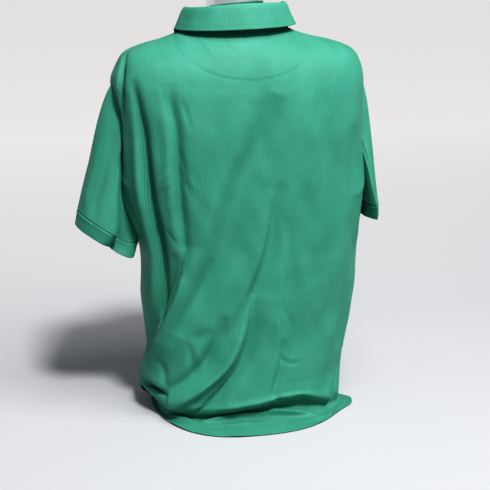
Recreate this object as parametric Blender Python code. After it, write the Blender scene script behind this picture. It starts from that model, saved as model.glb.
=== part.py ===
"""A short-sleeved polo shirt, filled out on a limbless table-top torso form.

Metres, +Z up. The wearer faces -Y, so +X is the wearer's left. The origin is the middle
of the form's flat base, on the table that the shirt's hem also lies on.

The shirt hangs as rings round the body: ring 0 is the neck seam, ring TIP is where the
sleeve head meets the shoulder seam, ring UNDERARM is the armpit, and the last ring is the
hem, which lies spread out on the table. Angles run from the wearer's left side (0) over
the back (90 degrees) and the right side (180) to the front (270).
"""

import math
from collections import namedtuple

import bpy
import numpy as np

MM = 0.001
CLOTH = 2.0 * MM
SEAM_GAP = 0.3 * MM
LAID_ON_GAP = 0.6 * MM

# ---------------------------------------------------------------- the body's rings
Ring = namedtuple("Ring", "back_z side_z front_z half_width back_y front_y middle_x squareness")
RINGS = (
    Ring(0.682, 0.688, 0.612, 0.080, 0.060, 0.074, 0.014, 2.0),  # neck seam
    Ring(0.668, 0.676, 0.596, 0.096, 0.073, 0.088, 0.015, 2.0),
    Ring(0.650, 0.664, 0.578, 0.129, 0.088, 0.101, 0.013, 2.1),
    Ring(0.631, 0.654, 0.560, 0.168, 0.099, 0.110, 0.009, 2.4),
    Ring(0.612, 0.641, 0.544, 0.199, 0.107, 0.115, 0.006, 2.6),
    Ring(0.592, 0.618, 0.530, 0.214, 0.113, 0.118, 0.006, 2.7),
    Ring(0.570, 0.588, 0.512, 0.222, 0.118, 0.121, 0.007, 2.7),  # sleeve head
    Ring(0.515, 0.528, 0.470, 0.218, 0.123, 0.124, 0.003, 2.8),
    Ring(0.455, 0.462, 0.424, 0.217, 0.124, 0.124, 0.003, 2.8),
    Ring(0.395, 0.398, 0.376, 0.2135, 0.124, 0.122, 0.0015, 2.8),  # underarm
    Ring(0.300, 0.300, 0.290, 0.195, 0.123, 0.120, -0.010, 2.7),
    Ring(0.200, 0.200, 0.198, 0.189, 0.122, 0.119, -0.006, 2.6),
    Ring(0.115, 0.115, 0.115, 0.178, 0.123, 0.119, -0.005, 2.6),
    Ring(0.070, 0.070, 0.060, 0.180, 0.126, 0.120, 0.003, 2.5),  # top of the side vents
)
TIP, UNDERARM, VENT = 6, 9, 13

# Below the vents each panel ends by itself: how far it stands out of the last ring, and how
# far its ends move, at the wearer's left inward, and at the right outward and backward.
HemRow = namedtuple("HemRow", "back_z back_out front_z front_out left_in right_out right_back")
HEM_ROWS = (
    HemRow(0.044, 0.004, 0.036, 0.004, -0.006, -0.003, 0.000),
    HemRow(0.029, 0.005, 0.021, 0.006, 0.000, -0.005, 0.000),
    HemRow(0.017, -0.005, 0.012, 0.003, 0.012, -0.005, 0.000),
    HemRow(0.007, -0.015, 0.006, 0.002, 0.020, -0.004, 0.004),
    HemRow(CLOTH, 0.002, CLOTH, 0.006, 0.020, -0.002, 0.010),
    HemRow(CLOTH, 0.028, CLOTH, 0.014, 0.018, 0.005, 0.023),
    HemRow(CLOTH, 0.053, CLOTH, 0.022, 0.016, 0.016, 0.036),
)
# The back's overhang above the hem is higher in places: by how much at each distance from
# the centre line, and the share of it that each row from the vents' top down takes.
Overhang = namedtuple("Overhang", "across lift")
OVERHANG = (Overhang(-0.200, 0.004), Overhang(-0.160, 0.000), Overhang(-0.125, 0.004),
            Overhang(-0.085, 0.019), Overhang(-0.045, 0.020), Overhang(0.000, 0.010),
            Overhang(0.050, 0.003), Overhang(0.110, 0.000), Overhang(0.220, 0.000))
OVERHANG_SHARE = (0.0, 0.5, 0.9, 1.0, 0.8, 0.0, 0.0, 0.0)
HEM_SKEW = 0.035  # the hem's spread grows towards the wearer's left
HEM = VENT + len(HEM_ROWS)
VENT_SPREAD = 0.004  # how far each panel's edge leaves the side line at the hem
CORNER_POWER = 12  # how close to the side the right corner's spread keeps

ROWS_SHOULDER, ROWS_ARMHOLE, ROWS_SIDE = 8, 10, 11
BACK_COLUMNS, FRONT_COLUMNS = 42, 17
LINE_SAMPLES = 361  # points along a ring when its length is measured

# ---------------------------------------------------------------- armholes and sleeves
ARMHOLE_BACK_Y, ARMHOLE_FRONT_Y = 0.028, 0.060
ARMHOLE_RECESS = 0.008  # the seam is drawn in between the body and the sleeve
RECESS_WIDTH = 0.030


def blend(low, high, value):
    """0 below low, 1 above high, and a smooth step between."""
    u = np.clip((value - low) / (high - low), 0.0, 1.0)
    return u * u * (3 - 2 * u)


def smooth_read(values, place):
    """Read a list of values smoothly at fractional places."""
    values = np.asarray(values, float)
    place = np.clip(place, 0, len(values) - 1)
    i = np.minimum(place.astype(int), len(values) - 2)
    u = place - i
    before, here, after, beyond = (values[np.clip(i + k, 0, len(values) - 1)]
                                   for k in (-1, 0, 1, 2))
    return here + 0.5 * u * (
        after - before + u * (2 * before - 5 * here + 4 * after - beyond
                              + u * (3 * (here - after) + beyond - before)))


def column(name, t):
    """A column of RINGS, read smoothly at ring number t."""
    return smooth_read([getattr(ring, name) for ring in RINGS], t)


def hem_column(name, t, start):
    """A column of HEM_ROWS, which leaves the last ring's value smoothly."""
    values = [getattr(row, name) for row in HEM_ROWS]
    return smooth_read([start, start] + values, t - VENT + 1)


def shell(angle, t, panel):
    """Points of the smooth body at angles (radians) round ring t, before any fold."""
    angle, t = np.broadcast_arrays(np.asarray(angle, float), np.asarray(t, float))
    cos, sin = np.cos(angle), np.sin(angle)
    power = 2 / column("squareness", t)
    depth = np.where(sin > 0, column("back_y", t), column("front_y", t))
    across = np.sign(cos) * np.abs(cos) ** power
    along = np.sign(sin) * np.abs(sin) ** power
    x = column("middle_x", t) + column("half_width", t) * across
    y = depth * along
    end_z = np.where(sin > 0, column("back_z", t), column("front_z", t))
    z = column("side_z", t) + (end_z - column("side_z", t)) * sin ** 2
    if t.max() > VENT - 1:
        out = hem_column(panel + "_out", t, 0.0)
        if panel == "back":
            out = out + HEM_SKEW * x * blend(VENT + 4, HEM, t)
        left = np.where(cos > 0, hem_column("left_in", t, 0.0), 0.0)
        right = np.where(cos < 0, hem_column("right_out", t, 0.0), 0.0)
        x = x - left * cos ** 2 - right * cos ** CORNER_POWER
        y = y + out * sin * np.abs(sin) ** 0.7
        start = getattr(RINGS[VENT], panel + "_z")
        low = hem_column(panel + "_z", t, start)
        if panel == "back":
            right_back = np.where(cos < 0, hem_column("right_back", t, 0.0), 0.0)
            y = y + right_back * cos ** CORNER_POWER
            places = np.array([place.across for place in OVERHANG])
            lifts = smooth_read([place.lift for place in OVERHANG],
                                np.interp(x, places, np.arange(len(places))))
            low = low + lifts * smooth_read(OVERHANG_SHARE, t - VENT)
        z = np.where(t > VENT, low, z)
    return np.stack([x, y, z], -1)


def row_numbers():
    """The ring numbers of the panels' rows, from the neck seam to the hem."""
    return np.concatenate([
        np.linspace(0, TIP, ROWS_SHOULDER, endpoint=False),
        np.linspace(TIP, UNDERARM, ROWS_ARMHOLE, endpoint=False),
        np.linspace(UNDERARM, VENT, ROWS_SIDE, endpoint=False),
        np.arange(VENT, HEM + 1),
    ])


def edge_angle(t, panel):
    """How far from the side line a panel's edge is, as an angle at ring t: the armhole."""
    y_mid = {"back": ARMHOLE_BACK_Y, "front": ARMHOLE_FRONT_Y}[panel]
    share = np.clip((t - TIP) / (UNDERARM - TIP), 0, 1)
    y = y_mid * np.clip(np.sin(math.pi * share), 0, 1) ** 0.6
    depth = column(panel + "_y", t)
    return np.arcsin((y / depth) ** (column("squareness", t) / 2))


# ---------------------------------------------------------------- folds
# Each fold runs from start over middle to end. On the body "across" is measured along the
# cloth from the centre line, towards the wearer's left, and "up" is the height. A depth
# below zero is a trough, and above zero a ridge. Right and left are how far the fold
# reaches towards the wearer's right and left.
Fold = namedtuple("Fold", "name start middle end right left depth")
BACK_FOLDS = (
    Fold("deep valley", (0.190, 0.590), (0.199, 0.400), (0.194, 0.180), 0.018, 0.011, -0.018),
    Fold("deep valley's ridge", (0.164, 0.540), (0.160, 0.410), (0.168, 0.230), 0.014, 0.014, 0.004),
    Fold("thin valley", (0.139, 0.590), (0.130, 0.430), (0.142, 0.262), 0.009, 0.011, -0.008),
    Fold("broad slant", (-0.044, 0.580), (0.042, 0.382), (0.140, 0.160), 0.024, 0.024, -0.012),
    Fold("left side's ridge", (0.137, 0.320), (0.160, 0.196), (0.240, 0.040), 0.034, 0.012, 0.013),
    Fold("lower slant", (-0.044, 0.430), (-0.002, 0.290), (0.044, 0.160), 0.016, 0.012, -0.008),
    Fold("swoop ridge", (0.022, 0.235), (0.070, 0.094), (0.190, 0.016), 0.012, 0.014, 0.013),
    Fold("swoop valley", (0.010, 0.225), (0.052, 0.078), (0.150, 0.002), 0.020, 0.010, -0.009),
    Fold("right drape", (-0.050, 0.430), (-0.046, 0.240), (-0.031, 0.030), 0.014, 0.010, -0.006),
    Fold("right corner", (-0.184, 0.108), (-0.164, 0.040), (-0.138, -0.006), 0.012, 0.010, -0.008),
)
FRONT_FOLDS = (
    Fold("left drape", (0.150, 0.520), (0.154, 0.360), (0.142, 0.160), 0.020, 0.018, -0.010),
    Fold("right drape", (-0.155, 0.500), (-0.167, 0.340), (-0.155, 0.140), 0.018, 0.020, -0.0095),
    Fold("slant", (-0.060, 0.400), (0.030, 0.260), (0.112, 0.120), 0.024, 0.026, -0.010),
    Fold("low break", (-0.112, 0.220), (-0.060, 0.120), (0.030, 0.068), 0.020, 0.016, 0.008),
)
FOLD_STEPS = 24
FOLD_END = 0.03  # a fold keeps a little of its depth at its ends
EDGE_FADE = 0.03  # the folds end this close to a seam
TABLE_FADE = (0.010, 0.045)  # heights between which the folds fade out towards the table


def fold_height(folds, across, up):
    """How far the folds move each point out of the cloth."""
    total = np.zeros_like(across)
    u = np.linspace(0, 1, FOLD_STEPS)[:, None]
    for fold in folds:
        start, middle, end = (np.array(p) for p in (fold.start, fold.middle, fold.end))
        control = 2 * middle - (start + end) / 2
        path = (1 - u) ** 2 * start + 2 * u * (1 - u) * control + u ** 2 * end
        gap = np.stack([across, up], -1)[..., None, :] - path
        distance = np.linalg.norm(gap, axis=-1)
        nearest = distance.argmin(-1)
        to_side = np.take_along_axis(gap, nearest[..., None, None], -2)[..., 0, :]
        way = np.gradient(path, axis=0)[nearest]
        side = to_side[..., 1] * way[..., 0] - to_side[..., 0] * way[..., 1]
        width = np.where(side > 0, fold.left, fold.right)
        taper = np.sin(math.pi * np.clip(u[nearest, 0], FOLD_END, 1 - FOLD_END)) ** 0.7
        total += fold.depth * taper * np.exp(-(distance.min(-1) / width) ** 2)
    return total


# ---------------------------------------------------------------- grids of points
def grid_normals(points, ring=False):
    """Outward normals of a grid whose columns run leftwards round the body."""
    def slope(axis, wraps):
        if wraps:
            return np.roll(points, -1, axis) - np.roll(points, 1, axis)
        return np.gradient(points, axis=axis)
    normal = np.cross(slope(0, False), slope(1, ring))
    return normal / np.linalg.norm(normal, axis=-1, keepdims=True)


def unit(vectors):
    return vectors / np.linalg.norm(vectors, axis=-1, keepdims=True)


def panel_grid(panel):
    """The points of the back or front: rows are rings, columns run from the wearer's left."""
    turn = 1 if panel == "back" else -1
    rings = row_numbers()
    rows, across = [], []
    for t in rings:
        edge = edge_angle(np.array([t]), panel)[0]
        angles = turn * np.linspace(edge, math.pi - edge, LINE_SAMPLES)
        line = shell(angles, t, panel)
        length = np.concatenate([[0], np.cumsum(np.linalg.norm(np.diff(line, axis=0), axis=1))])
        middle = length[-1] / 2
        if panel == "back":
            at = np.linspace(0, length[-1], BACK_COLUMNS + 1)
        else:
            half = FRONT_COLUMNS // 2 + 1
            at = np.concatenate([np.linspace(0, middle - NOTCH_HALF, half),
                                 np.linspace(middle + NOTCH_HALF, length[-1], half)])
        rows.append(np.stack([np.interp(at, length, line[:, k]) for k in range(3)], -1))
        across.append(middle - at)
    points, across = np.array(rows), np.array(across)
    normals = turn * grid_normals(points)
    from_edge = across.max(1)[:, None] - np.abs(across)
    opening = np.clip(np.sin(math.pi * (rings - TIP) / (UNDERARM - TIP)), 0, 1)
    opening = np.where((rings > TIP) & (rings < UNDERARM), opening, 0)[:, None]
    height = fold_height(BACK_FOLDS if panel == "back" else FRONT_FOLDS, across, points[..., 2])
    height *= np.maximum(blend(0, EDGE_FADE, from_edge), opening)
    height *= blend(*TABLE_FADE, points[..., 2])
    height -= ARMHOLE_RECESS * opening * (1 - blend(0, RECESS_WIDTH, from_edge))
    return points + normals * height[..., None], across


# ---------------------------------------------------------------- sleeves
# The sleeve's open end is an oval: its outer tip is the middle plus long_half.
Cuff = namedtuple("Cuff", "middle long_half half_depth hang")
CUFFS = {
    "left": Cuff((0.2478, 0.005, 0.315), (0.0508, 0.0, 0.032), 0.056, (0.20, 0.0, -0.98)),
    "right": Cuff((-0.2265, 0.010, 0.346), (-0.0145, 0.0, 0.002), 0.068, (-0.04, 0.0, -1.00)),
}
CUFF_WIDTH = 0.025
SLEEVE_ROWS, CUFF_ROWS = 9, 2

# How the sleeve's cloth leaves the armhole, as shares of its length to the band.
Leave = namedtuple("Leave", "outward backward up")
LEAVE_TOP = Leave(0.33, 0.00, -0.43)
LEAVE_BACK = Leave(0.30, 0.28, -0.38)
LEAVE_UNDERARM = Leave(0.60, 0.00, -0.28)
LEAVE_FRONT = Leave(0.30, -0.22, -0.38)
STAND_OFF = {"left": 1.0, "right": 0.75}  # how far each sleeve's cloth stands off sideways
# Folds that run down a sleeve: their turn round it from its outer side, backward, in degrees.
SleeveFold = namedtuple("SleeveFold", "top_turn end_turn half_turn depth")
SLEEVE_FOLDS = {
    "left": (SleeveFold(88, 112, 17, -0.014), SleeveFold(146, 146, 22, 0.003),
             SleeveFold(250, 235, 20, -0.008)),
    "right": (SleeveFold(50, 66, 18, -0.006), SleeveFold(290, 300, 20, -0.006)),
}
HANG_PULL = 0.45  # how firmly the cloth ends up running along the sleeve

# ---------------------------------------------------------------- collar
# The collar's knitted band from the neck seam, up, over and down, measured from ring 0:
# out from the neck and up, at the back, the sides and the front, and where each row ends,
# in degrees from the front's middle.
CollarRow = namedtuple("CollarRow", "back_out back_up side_out side_up front_out front_up end")
COLLAR_ROWS = (
    CollarRow(-0.0026, 0.0006, -0.0026, 0.0006, -0.0034, 0.0008, 4.0),  # neck seam
    CollarRow(-0.0010, 0.0220, -0.0010, 0.0160, 0.0000, 0.0180, 4.0),
    CollarRow(0.0010, 0.0380, 0.0010, 0.0260, 0.0040, 0.0300, 4.5),
    CollarRow(0.0050, 0.0430, 0.0050, 0.0310, 0.0090, 0.0350, 6.0),  # top of the fold
    CollarRow(0.0105, 0.0390, 0.0105, 0.0270, 0.0160, 0.0290, 9.0),
    CollarRow(0.0170, 0.0220, 0.0180, 0.0100, 0.0250, 0.0000, 14.0),
    CollarRow(0.0240, 0.0020, 0.0255, -0.0060, 0.0330, -0.0340, 19.0),  # lower edge
)
COLLAR_TILT = 0.038  # the collar stands higher towards the wearer's right
COLLAR_COLUMNS = 36

# ---------------------------------------------------------------- front opening
NOTCH_HALF = 0.015
NOTCH_ROWS = 11
TOP_PLACKET_HALF, UNDER_PLACKET_HALF = 0.018, 0.017
PLACKET_CLOTH = 1.6 * MM
BUTTON_RINGS = (1.3, 3.4, 5.4)
BUTTON_PROFILE = ((5.6, 0.0), (5.6, 1.5), (4.9, 2.2), (3.6, 1.8))  # radius and height, mm
BUTTON_SIDES = 16
BUTTON_GAP = 0.5 * MM  # the thread shank lifts each button off the placket
PLACKET_FIRST, TOP_PAST, UNDER_PAST = 0.12, 0.15, 0.10  # in rings, from the neck and past the slit

# ---------------------------------------------------------------- half-moon patch
MOON_HALF, MOON_DEEP, MOON_CLOTH = 0.135, 3.85, 1.0 * MM
MOON_RINGS = (0.6, 1.3, 2.0, 2.7, 3.3, 3.7)
MOON_COLUMNS = 14
MOON_MARGIN = 0.012  # the patch ends this far from the shoulder seams

# ---------------------------------------------------------------- torso form
# The form fills the shirt: how far its skin is inside the shirt's rings.
FormRow = namedtuple("FormRow", "ring side_inset end_inset")
FORM_ROWS = (
    FormRow(0.0, 0.009, 0.009),
    FormRow(1.0, 0.005, 0.011),
    FormRow(2.0, 0.0027, 0.014),
    FormRow(3.0, 0.0027, 0.017),
    FormRow(4.0, 0.006, 0.019),
    FormRow(5.0, 0.018, 0.021),
    FormRow(6.0, 0.030, 0.024),
    FormRow(7.0, 0.036, 0.027),
    FormRow(8.0, 0.036, 0.030),
    FormRow(9.0, 0.034, 0.030),
    FormRow(11.0, 0.034, 0.032),
    FormRow(13.0, 0.040, 0.040),
)
FORM_COLUMNS = 26
FORM_NECK_TOP, FORM_NECK_RADIUS = 0.690, 0.053
FORM_BASE_SHARE = 0.96  # the flat base is a little smaller than the ring above it
STUB_RADIUS, STUB_TOP, STUB_SIDES = 0.050, 0.766, 32


def build_mesh(name, points, faces, material):
    """One named object, shaded smooth, at the origin."""
    used = sorted({i for face in faces for i in face})
    place = {old: new for new, old in enumerate(used)}
    mesh = bpy.data.meshes.new(name)
    mesh.from_pydata([tuple(map(float, points[i])) for i in used], [],
                     [[place[i] for i in face] for face in faces])
    mesh.polygons.foreach_set("use_smooth", [True] * len(mesh.polygons))
    mesh.materials.append(material)
    mesh.update()
    obj = bpy.data.objects.new(name, mesh)
    bpy.context.scene.collection.objects.link(obj)
    return obj


def grid_wall(name, outer, inner, material, wrap=False, flip=False, skip=()):
    """A closed cloth wall between two grids of points, with rims round all its edges."""
    rows, columns = outer.shape[:2]
    across = columns if wrap else columns - 1
    skin = []
    for r in range(rows - 1):
        for c in range(across):
            if (r, c) in skip:
                continue
            d = (c + 1) % columns
            face = [r * columns + c, (r + 1) * columns + c, (r + 1) * columns + d,
                    r * columns + d]
            skin.append(face[::-1] if flip else face)
    edges = {(face[k], face[(k + 1) % 4]) for face in skin for k in range(4)}
    back = rows * columns
    faces = skin + [[i + back for i in face[::-1]] for face in skin]
    faces += [[v, u, u + back, v + back] for u, v in sorted(edges) if (v, u) not in edges]
    points = np.concatenate([outer.reshape(-1, 3), inner.reshape(-1, 3)])
    return build_mesh(name, points, faces, material)


def loft(name, rings, material):
    """A closed solid through rings of points, capped flat at both ends."""
    count, sides = len(rings), len(rings[0])
    faces = [[r * sides + c, r * sides + (c + 1) % sides, (r + 1) * sides + (c + 1) % sides,
              (r + 1) * sides + c] for r in range(count - 1) for c in range(sides)]
    faces += [list(range(sides))[::-1], [(count - 1) * sides + c for c in range(sides)]]
    return build_mesh(name, np.concatenate(rings), faces, material)


def make_material(name, colour, roughness, metallic=0.0):
    material = bpy.data.materials.new(name)
    material.use_nodes = True
    shader = material.node_tree.nodes["Principled BSDF"]
    shader.inputs["Base Color"].default_value = (*colour, 1.0)
    shader.inputs["Roughness"].default_value = roughness
    shader.inputs["Metallic"].default_value = metallic
    material.diffuse_color = (*colour, 1.0)
    return material


class Panel:
    """The back or front as a grid of points with outward normals."""

    def __init__(self, side):
        self.side = side
        self.turn = 1 if side == "back" else -1
        self.rings = row_numbers()
        self.points, self.across = panel_grid(side)
        self.normals = self.turn * grid_normals(self.points)
        seams = (self.rings <= TIP) | (self.rings >= UNDERARM)
        for edge in (0, -1):
            flat = self.normals[seams, edge]
            flat[:, 1] = 0
            self.normals[seams, edge] = unit(flat)
        spread = VENT_SPREAD * np.clip((self.rings - VENT) / (HEM - VENT), 0, 1)
        self.points[..., 1] += self.turn * (SEAM_GAP / 2 + spread)[:, None]
        self.armhole_rows = np.flatnonzero((self.rings >= TIP) & (self.rings <= UNDERARM))

    def at(self, ring, across):
        """The point and normal at a ring number and a distance from the centre line."""
        row = np.interp(ring, self.rings, np.arange(len(self.rings)))
        low = min(int(row), len(self.rings) - 2)
        found = []
        for grid in (self.points, self.normals):
            pair = [np.array([np.interp(across, self.across[r, ::-1], grid[r, ::-1, k])
                              for k in range(3)]) for r in (low, low + 1)]
            found.append(pair[0] + (row - low) * (pair[1] - pair[0]))
        return found[0], unit(found[1])

    def strip(self, rings, halves, columns, lift, cloth):
        """Two grids of points that follow the panel, lifted outward from it."""
        outer, inner = [], []
        for ring, half in zip(rings, halves):
            line = [self.at(ring, s) for s in np.linspace(half, -half, columns + 1)]
            outer.append([p + n * (lift + cloth) for p, n in line])
            inner.append([p + n * lift for p, n in line])
        return np.array(outer), np.array(inner)

    def wall(self, material, skip=()):
        outer = self.points.copy()
        outer[..., 2] = np.maximum(outer[..., 2], CLOTH)
        inner = self.points - self.normals * CLOTH
        inner[..., 2] = np.clip(inner[..., 2], 0, None)
        return grid_wall(self.side + "_panel", outer, inner, material,
                         flip=self.turn < 0, skip=skip)


def armhole(back, front, side):
    """The seam ring of a sleeve: its points, shared normals and way out of the body."""
    edge = 0 if side == "left" else -1
    out = 1 if side == "left" else -1
    rows = back.armhole_rows
    places = [(back, r) for r in rows] + [(front, r) for r in rows[-2:0:-1]]
    points = np.array([panel.points[r, edge] for panel, r in places])
    points[[0, len(rows) - 1], 1] = 0
    normals = np.array([panel.normals[r, edge] for panel, r in places])
    along = unit(np.roll(points, -1, 0) - np.roll(points, 1, 0))
    radial = np.cross(along, (1.0, 0.0, 0.0))
    radial *= np.sign(np.sum(radial * (points - points.mean(0)), -1, keepdims=True))
    shared = unit(normals + unit(radial))
    shared = unit(shared - along * np.sum(shared * along, -1, keepdims=True))
    away = np.cross(along, shared)
    away *= np.sign(away[:, :1] * out)
    for (panel, r), normal, way in zip(places, shared, away):
        panel.normals[r, edge] = normal
        panel.points[r, edge] -= way * SEAM_GAP / 2
    for r in (rows[0], rows[-1]):
        front.normals[r, edge] = back.normals[r, edge]
        front.points[r, edge, [0, 2]] = back.points[r, edge, [0, 2]]
    return points + away * SEAM_GAP / 2, shared


def sleeve_normals(points, hang, out):
    """Outward normals of the sleeve and its band, shared and square to hang at their seam."""
    normals = grid_normals(points, ring=True) * out
    seam = normals[SLEEVE_ROWS] + normals[SLEEVE_ROWS + 1]
    seam = unit(seam - np.outer(seam @ hang, hang))
    normals[SLEEVE_ROWS] = normals[SLEEVE_ROWS + 1] = seam
    return normals


def sleeve_grids(ring, shared, side):
    """The sleeve and its band: points from the armhole to the open end, with normals."""
    cuff = CUFFS[side]
    out = 1 if side == "left" else -1
    turn = np.linspace(0, 2 * math.pi, len(ring), endpoint=False)[:, None]
    hang = unit(np.array(cuff.hang))
    end = (np.array(cuff.middle) + np.cos(turn) * np.array(cuff.long_half)
           + np.sin(turn) * np.array((0, cuff.half_depth, 0)))
    band = end - hang * CUFF_WIDTH
    weight = {"TOP": np.clip(np.cos(turn), 0, 1) ** 2, "BACK": np.clip(np.sin(turn), 0, 1) ** 2,
              "UNDERARM": np.clip(-np.cos(turn), 0, 1) ** 2,
              "FRONT": np.clip(-np.sin(turn), 0, 1) ** 2}
    away = out * STAND_OFF[side]
    leave = sum(weight[key] * np.array((way.outward * away, way.backward, way.up))
                for key, way in (("TOP", LEAVE_TOP), ("BACK", LEAVE_BACK),
                                 ("UNDERARM", LEAVE_UNDERARM), ("FRONT", LEAVE_FRONT)))
    reach = np.linalg.norm(band - ring, axis=1, keepdims=True)
    rows = []
    for u in np.linspace(0, 1, SLEEVE_ROWS + 1):
        rows.append((2 * u ** 3 - 3 * u ** 2 + 1) * ring
                    + (u ** 3 - 2 * u ** 2 + u) * reach * leave
                    + (3 * u ** 2 - 2 * u ** 3) * (band - hang * SEAM_GAP)
                    + (u ** 3 - u ** 2) * HANG_PULL * reach * hang)
    for u in np.linspace(0, 1, CUFF_ROWS + 1):
        rows.append(band + hang * CUFF_WIDTH * u)
    points = np.array(rows)
    normals = sleeve_normals(points, hang, out)
    down = np.linspace(0, 1, len(rows))[:, None]
    for fold in SLEEVE_FOLDS[side]:
        centre = np.radians(fold.top_turn + (fold.end_turn - fold.top_turn) * down)
        from_fold = np.abs(turn[:, 0] - centre) / math.radians(fold.half_turn)
        height = fold.depth * blend(0, 0.3, down) * np.exp(-from_fold ** 2)
        height[SLEEVE_ROWS] = height[SLEEVE_ROWS + 1]
        points = points + normals * height[..., None]
    normals = sleeve_normals(points, hang, out)
    normals[0] = shared
    return points, normals


def build_sleeve(side, ring, shared, materials):
    points, normals = sleeve_grids(ring, shared, side)
    inner = points - normals * CLOTH
    flip = side == "right"
    split = SLEEVE_ROWS + 1
    grid_wall("sleeve_" + side, points[:split], inner[:split], materials["cloth"],
              wrap=True, flip=flip)
    grid_wall("cuff_" + side, points[split:], inner[split:], materials["cuff"],
              wrap=True, flip=flip)


def build_collar(material):
    rows = []
    for number, row in enumerate(COLLAR_ROWS):
        first = math.radians(row.end - 90)
        angle = np.linspace(first, math.pi - first, COLLAR_COLUMNS + 1)
        base = shell(angle, np.zeros_like(angle), "back")
        centre = np.array((RINGS[0].middle_x, 0, 0))
        outward = unit((base - centre) * (1, 1, 0))
        back, front = np.clip(np.sin(angle), 0, 1) ** 2, np.clip(-np.sin(angle), 0, 1) ** 2
        side = 1 - back - front
        move_out = row.back_out * back + row.side_out * side + row.front_out * front
        move_up = row.back_up * back + row.side_up * side + row.front_up * front
        tilt = COLLAR_TILT * blend(0, 2, number)
        move_up = move_up - tilt * (base[:, 0] - RINGS[0].middle_x)
        rows.append(base + outward * move_out[:, None] + np.outer(move_up, (0, 0, 1)))
    points = np.array(rows)
    normals = grid_normals(points)
    grid_wall("collar", points, points - normals * CLOTH, material)


def build_front_opening(front, materials):
    last = front.rings[NOTCH_ROWS]
    rings = np.append(PLACKET_FIRST, front.rings[1:NOTCH_ROWS])
    top = front.strip(np.append(rings, last + TOP_PAST), [TOP_PLACKET_HALF] * (len(rings) + 1), 2,
                      LAID_ON_GAP, PLACKET_CLOTH)
    under = front.strip(np.append(rings, last + UNDER_PAST), [UNDER_PLACKET_HALF] * (len(rings) + 1),
                        2, -CLOTH - LAID_ON_GAP - PLACKET_CLOTH, PLACKET_CLOTH)
    grid_wall("placket_top", *top, materials["cloth"], flip=True)
    grid_wall("placket_under", *under, materials["cloth"], flip=True)
    for number, ring in enumerate(BUTTON_RINGS, 1):
        point, normal = front.at(ring, 0.0)
        build_button(number, point + normal * (LAID_ON_GAP + PLACKET_CLOTH + BUTTON_GAP), normal,
                     materials["button"])


def build_button(number, point, normal, material):
    side = np.array((1.0, 0.0, 0.0))
    side = unit(side - normal * side.dot(normal))
    other = np.cross(normal, side)
    turn = np.linspace(0, 2 * math.pi, BUTTON_SIDES, endpoint=False)[:, None]
    circle = np.cos(turn) * side + np.sin(turn) * other
    rings = [point + circle * radius * MM + normal * height * MM
             for radius, height in BUTTON_PROFILE]
    loft("button_%d" % number, rings, material)


def build_half_moon(back, material):
    halves = [MOON_HALF * math.sqrt(1 - (ring / MOON_DEEP) ** 2) for ring in MOON_RINGS]
    room = [np.interp(ring, back.rings, back.across[:, 0]) - MOON_MARGIN for ring in MOON_RINGS]
    halves = [min(pair) for pair in zip(halves, room)]
    outer, inner = back.strip(MOON_RINGS, halves, MOON_COLUMNS,
                              -CLOTH - LAID_ON_GAP - MOON_CLOTH, MOON_CLOTH)
    grid_wall("half_moon", outer, inner, material)


def build_form(materials):
    angle = np.linspace(0, 2 * math.pi, FORM_COLUMNS, endpoint=False)
    rings = [shell(angle, np.full_like(angle, row.ring), "back") for row in FORM_ROWS]
    normals = grid_normals(np.array(rings), ring=True)
    skins = []
    for row, ring, normal in zip(FORM_ROWS, rings, normals):
        share = np.abs(np.sin(angle)) ** 1.5
        inset = row.side_inset + (row.end_inset - row.side_inset) * share
        skins.append(ring - normal * inset[:, None])
    neck = np.stack([RINGS[0].middle_x + FORM_NECK_RADIUS * np.cos(angle),
                     FORM_NECK_RADIUS * np.sin(angle),
                     np.full_like(angle, FORM_NECK_TOP)], -1)
    base = skins[-1] * (FORM_BASE_SHARE, FORM_BASE_SHARE, 0)
    loft("form_torso", [base] + skins[::-1] + [neck], materials["form"])

    turn = np.linspace(0, 2 * math.pi, STUB_SIDES, endpoint=False)
    stub = [np.stack([RINGS[0].middle_x + STUB_RADIUS * np.cos(turn),
                      STUB_RADIUS * np.sin(turn), np.full_like(turn, height)], -1)
            for height in (FORM_NECK_TOP + SEAM_GAP, STUB_TOP)]
    loft("form_neck", stub, materials["metal"])


def main():
    for obj in list(bpy.data.objects):
        bpy.data.objects.remove(obj)
    materials = {
        "cloth": make_material("green_knit", (0.045, 0.38, 0.22), 0.85),
        "cuff": make_material("green_band_knit", (0.040, 0.34, 0.20), 0.85),
        "collar": make_material("green_collar_knit", (0.042, 0.36, 0.21), 0.85),
        "button": make_material("button_plastic", (0.05, 0.30, 0.18), 0.35),
        "form": make_material("form_skin", (0.80, 0.79, 0.77), 0.60),
        "metal": make_material("polished_metal", (0.80, 0.80, 0.80), 0.10, 1.0),
    }
    back, front = Panel("back"), Panel("front")
    seams = {side: armhole(back, front, side) for side in ("left", "right")}
    back.wall(materials["cloth"])
    notch = {(row, FRONT_COLUMNS // 2) for row in range(NOTCH_ROWS)}
    front.wall(materials["cloth"], skip=notch)
    for side, (ring, shared) in seams.items():
        build_sleeve(side, ring, shared, materials)
    build_collar(materials["collar"])
    build_front_opening(front, materials)
    build_half_moon(back, materials["cloth"])
    build_form(materials)


main()
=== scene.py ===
"""A knitted short-sleeved polo shirt, filled out on a limbless table-top torso form.

The cloth pieces are thin shells on the solids' own form, with the shirt's creases, hems,
seams and stitches added. Metres, +Z up, the wearer faces -Y.
"""

import math
from collections import namedtuple

import bmesh
import bpy
import numpy as np
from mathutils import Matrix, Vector
from mathutils.geometry import delaunay_2d_cdt


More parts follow.
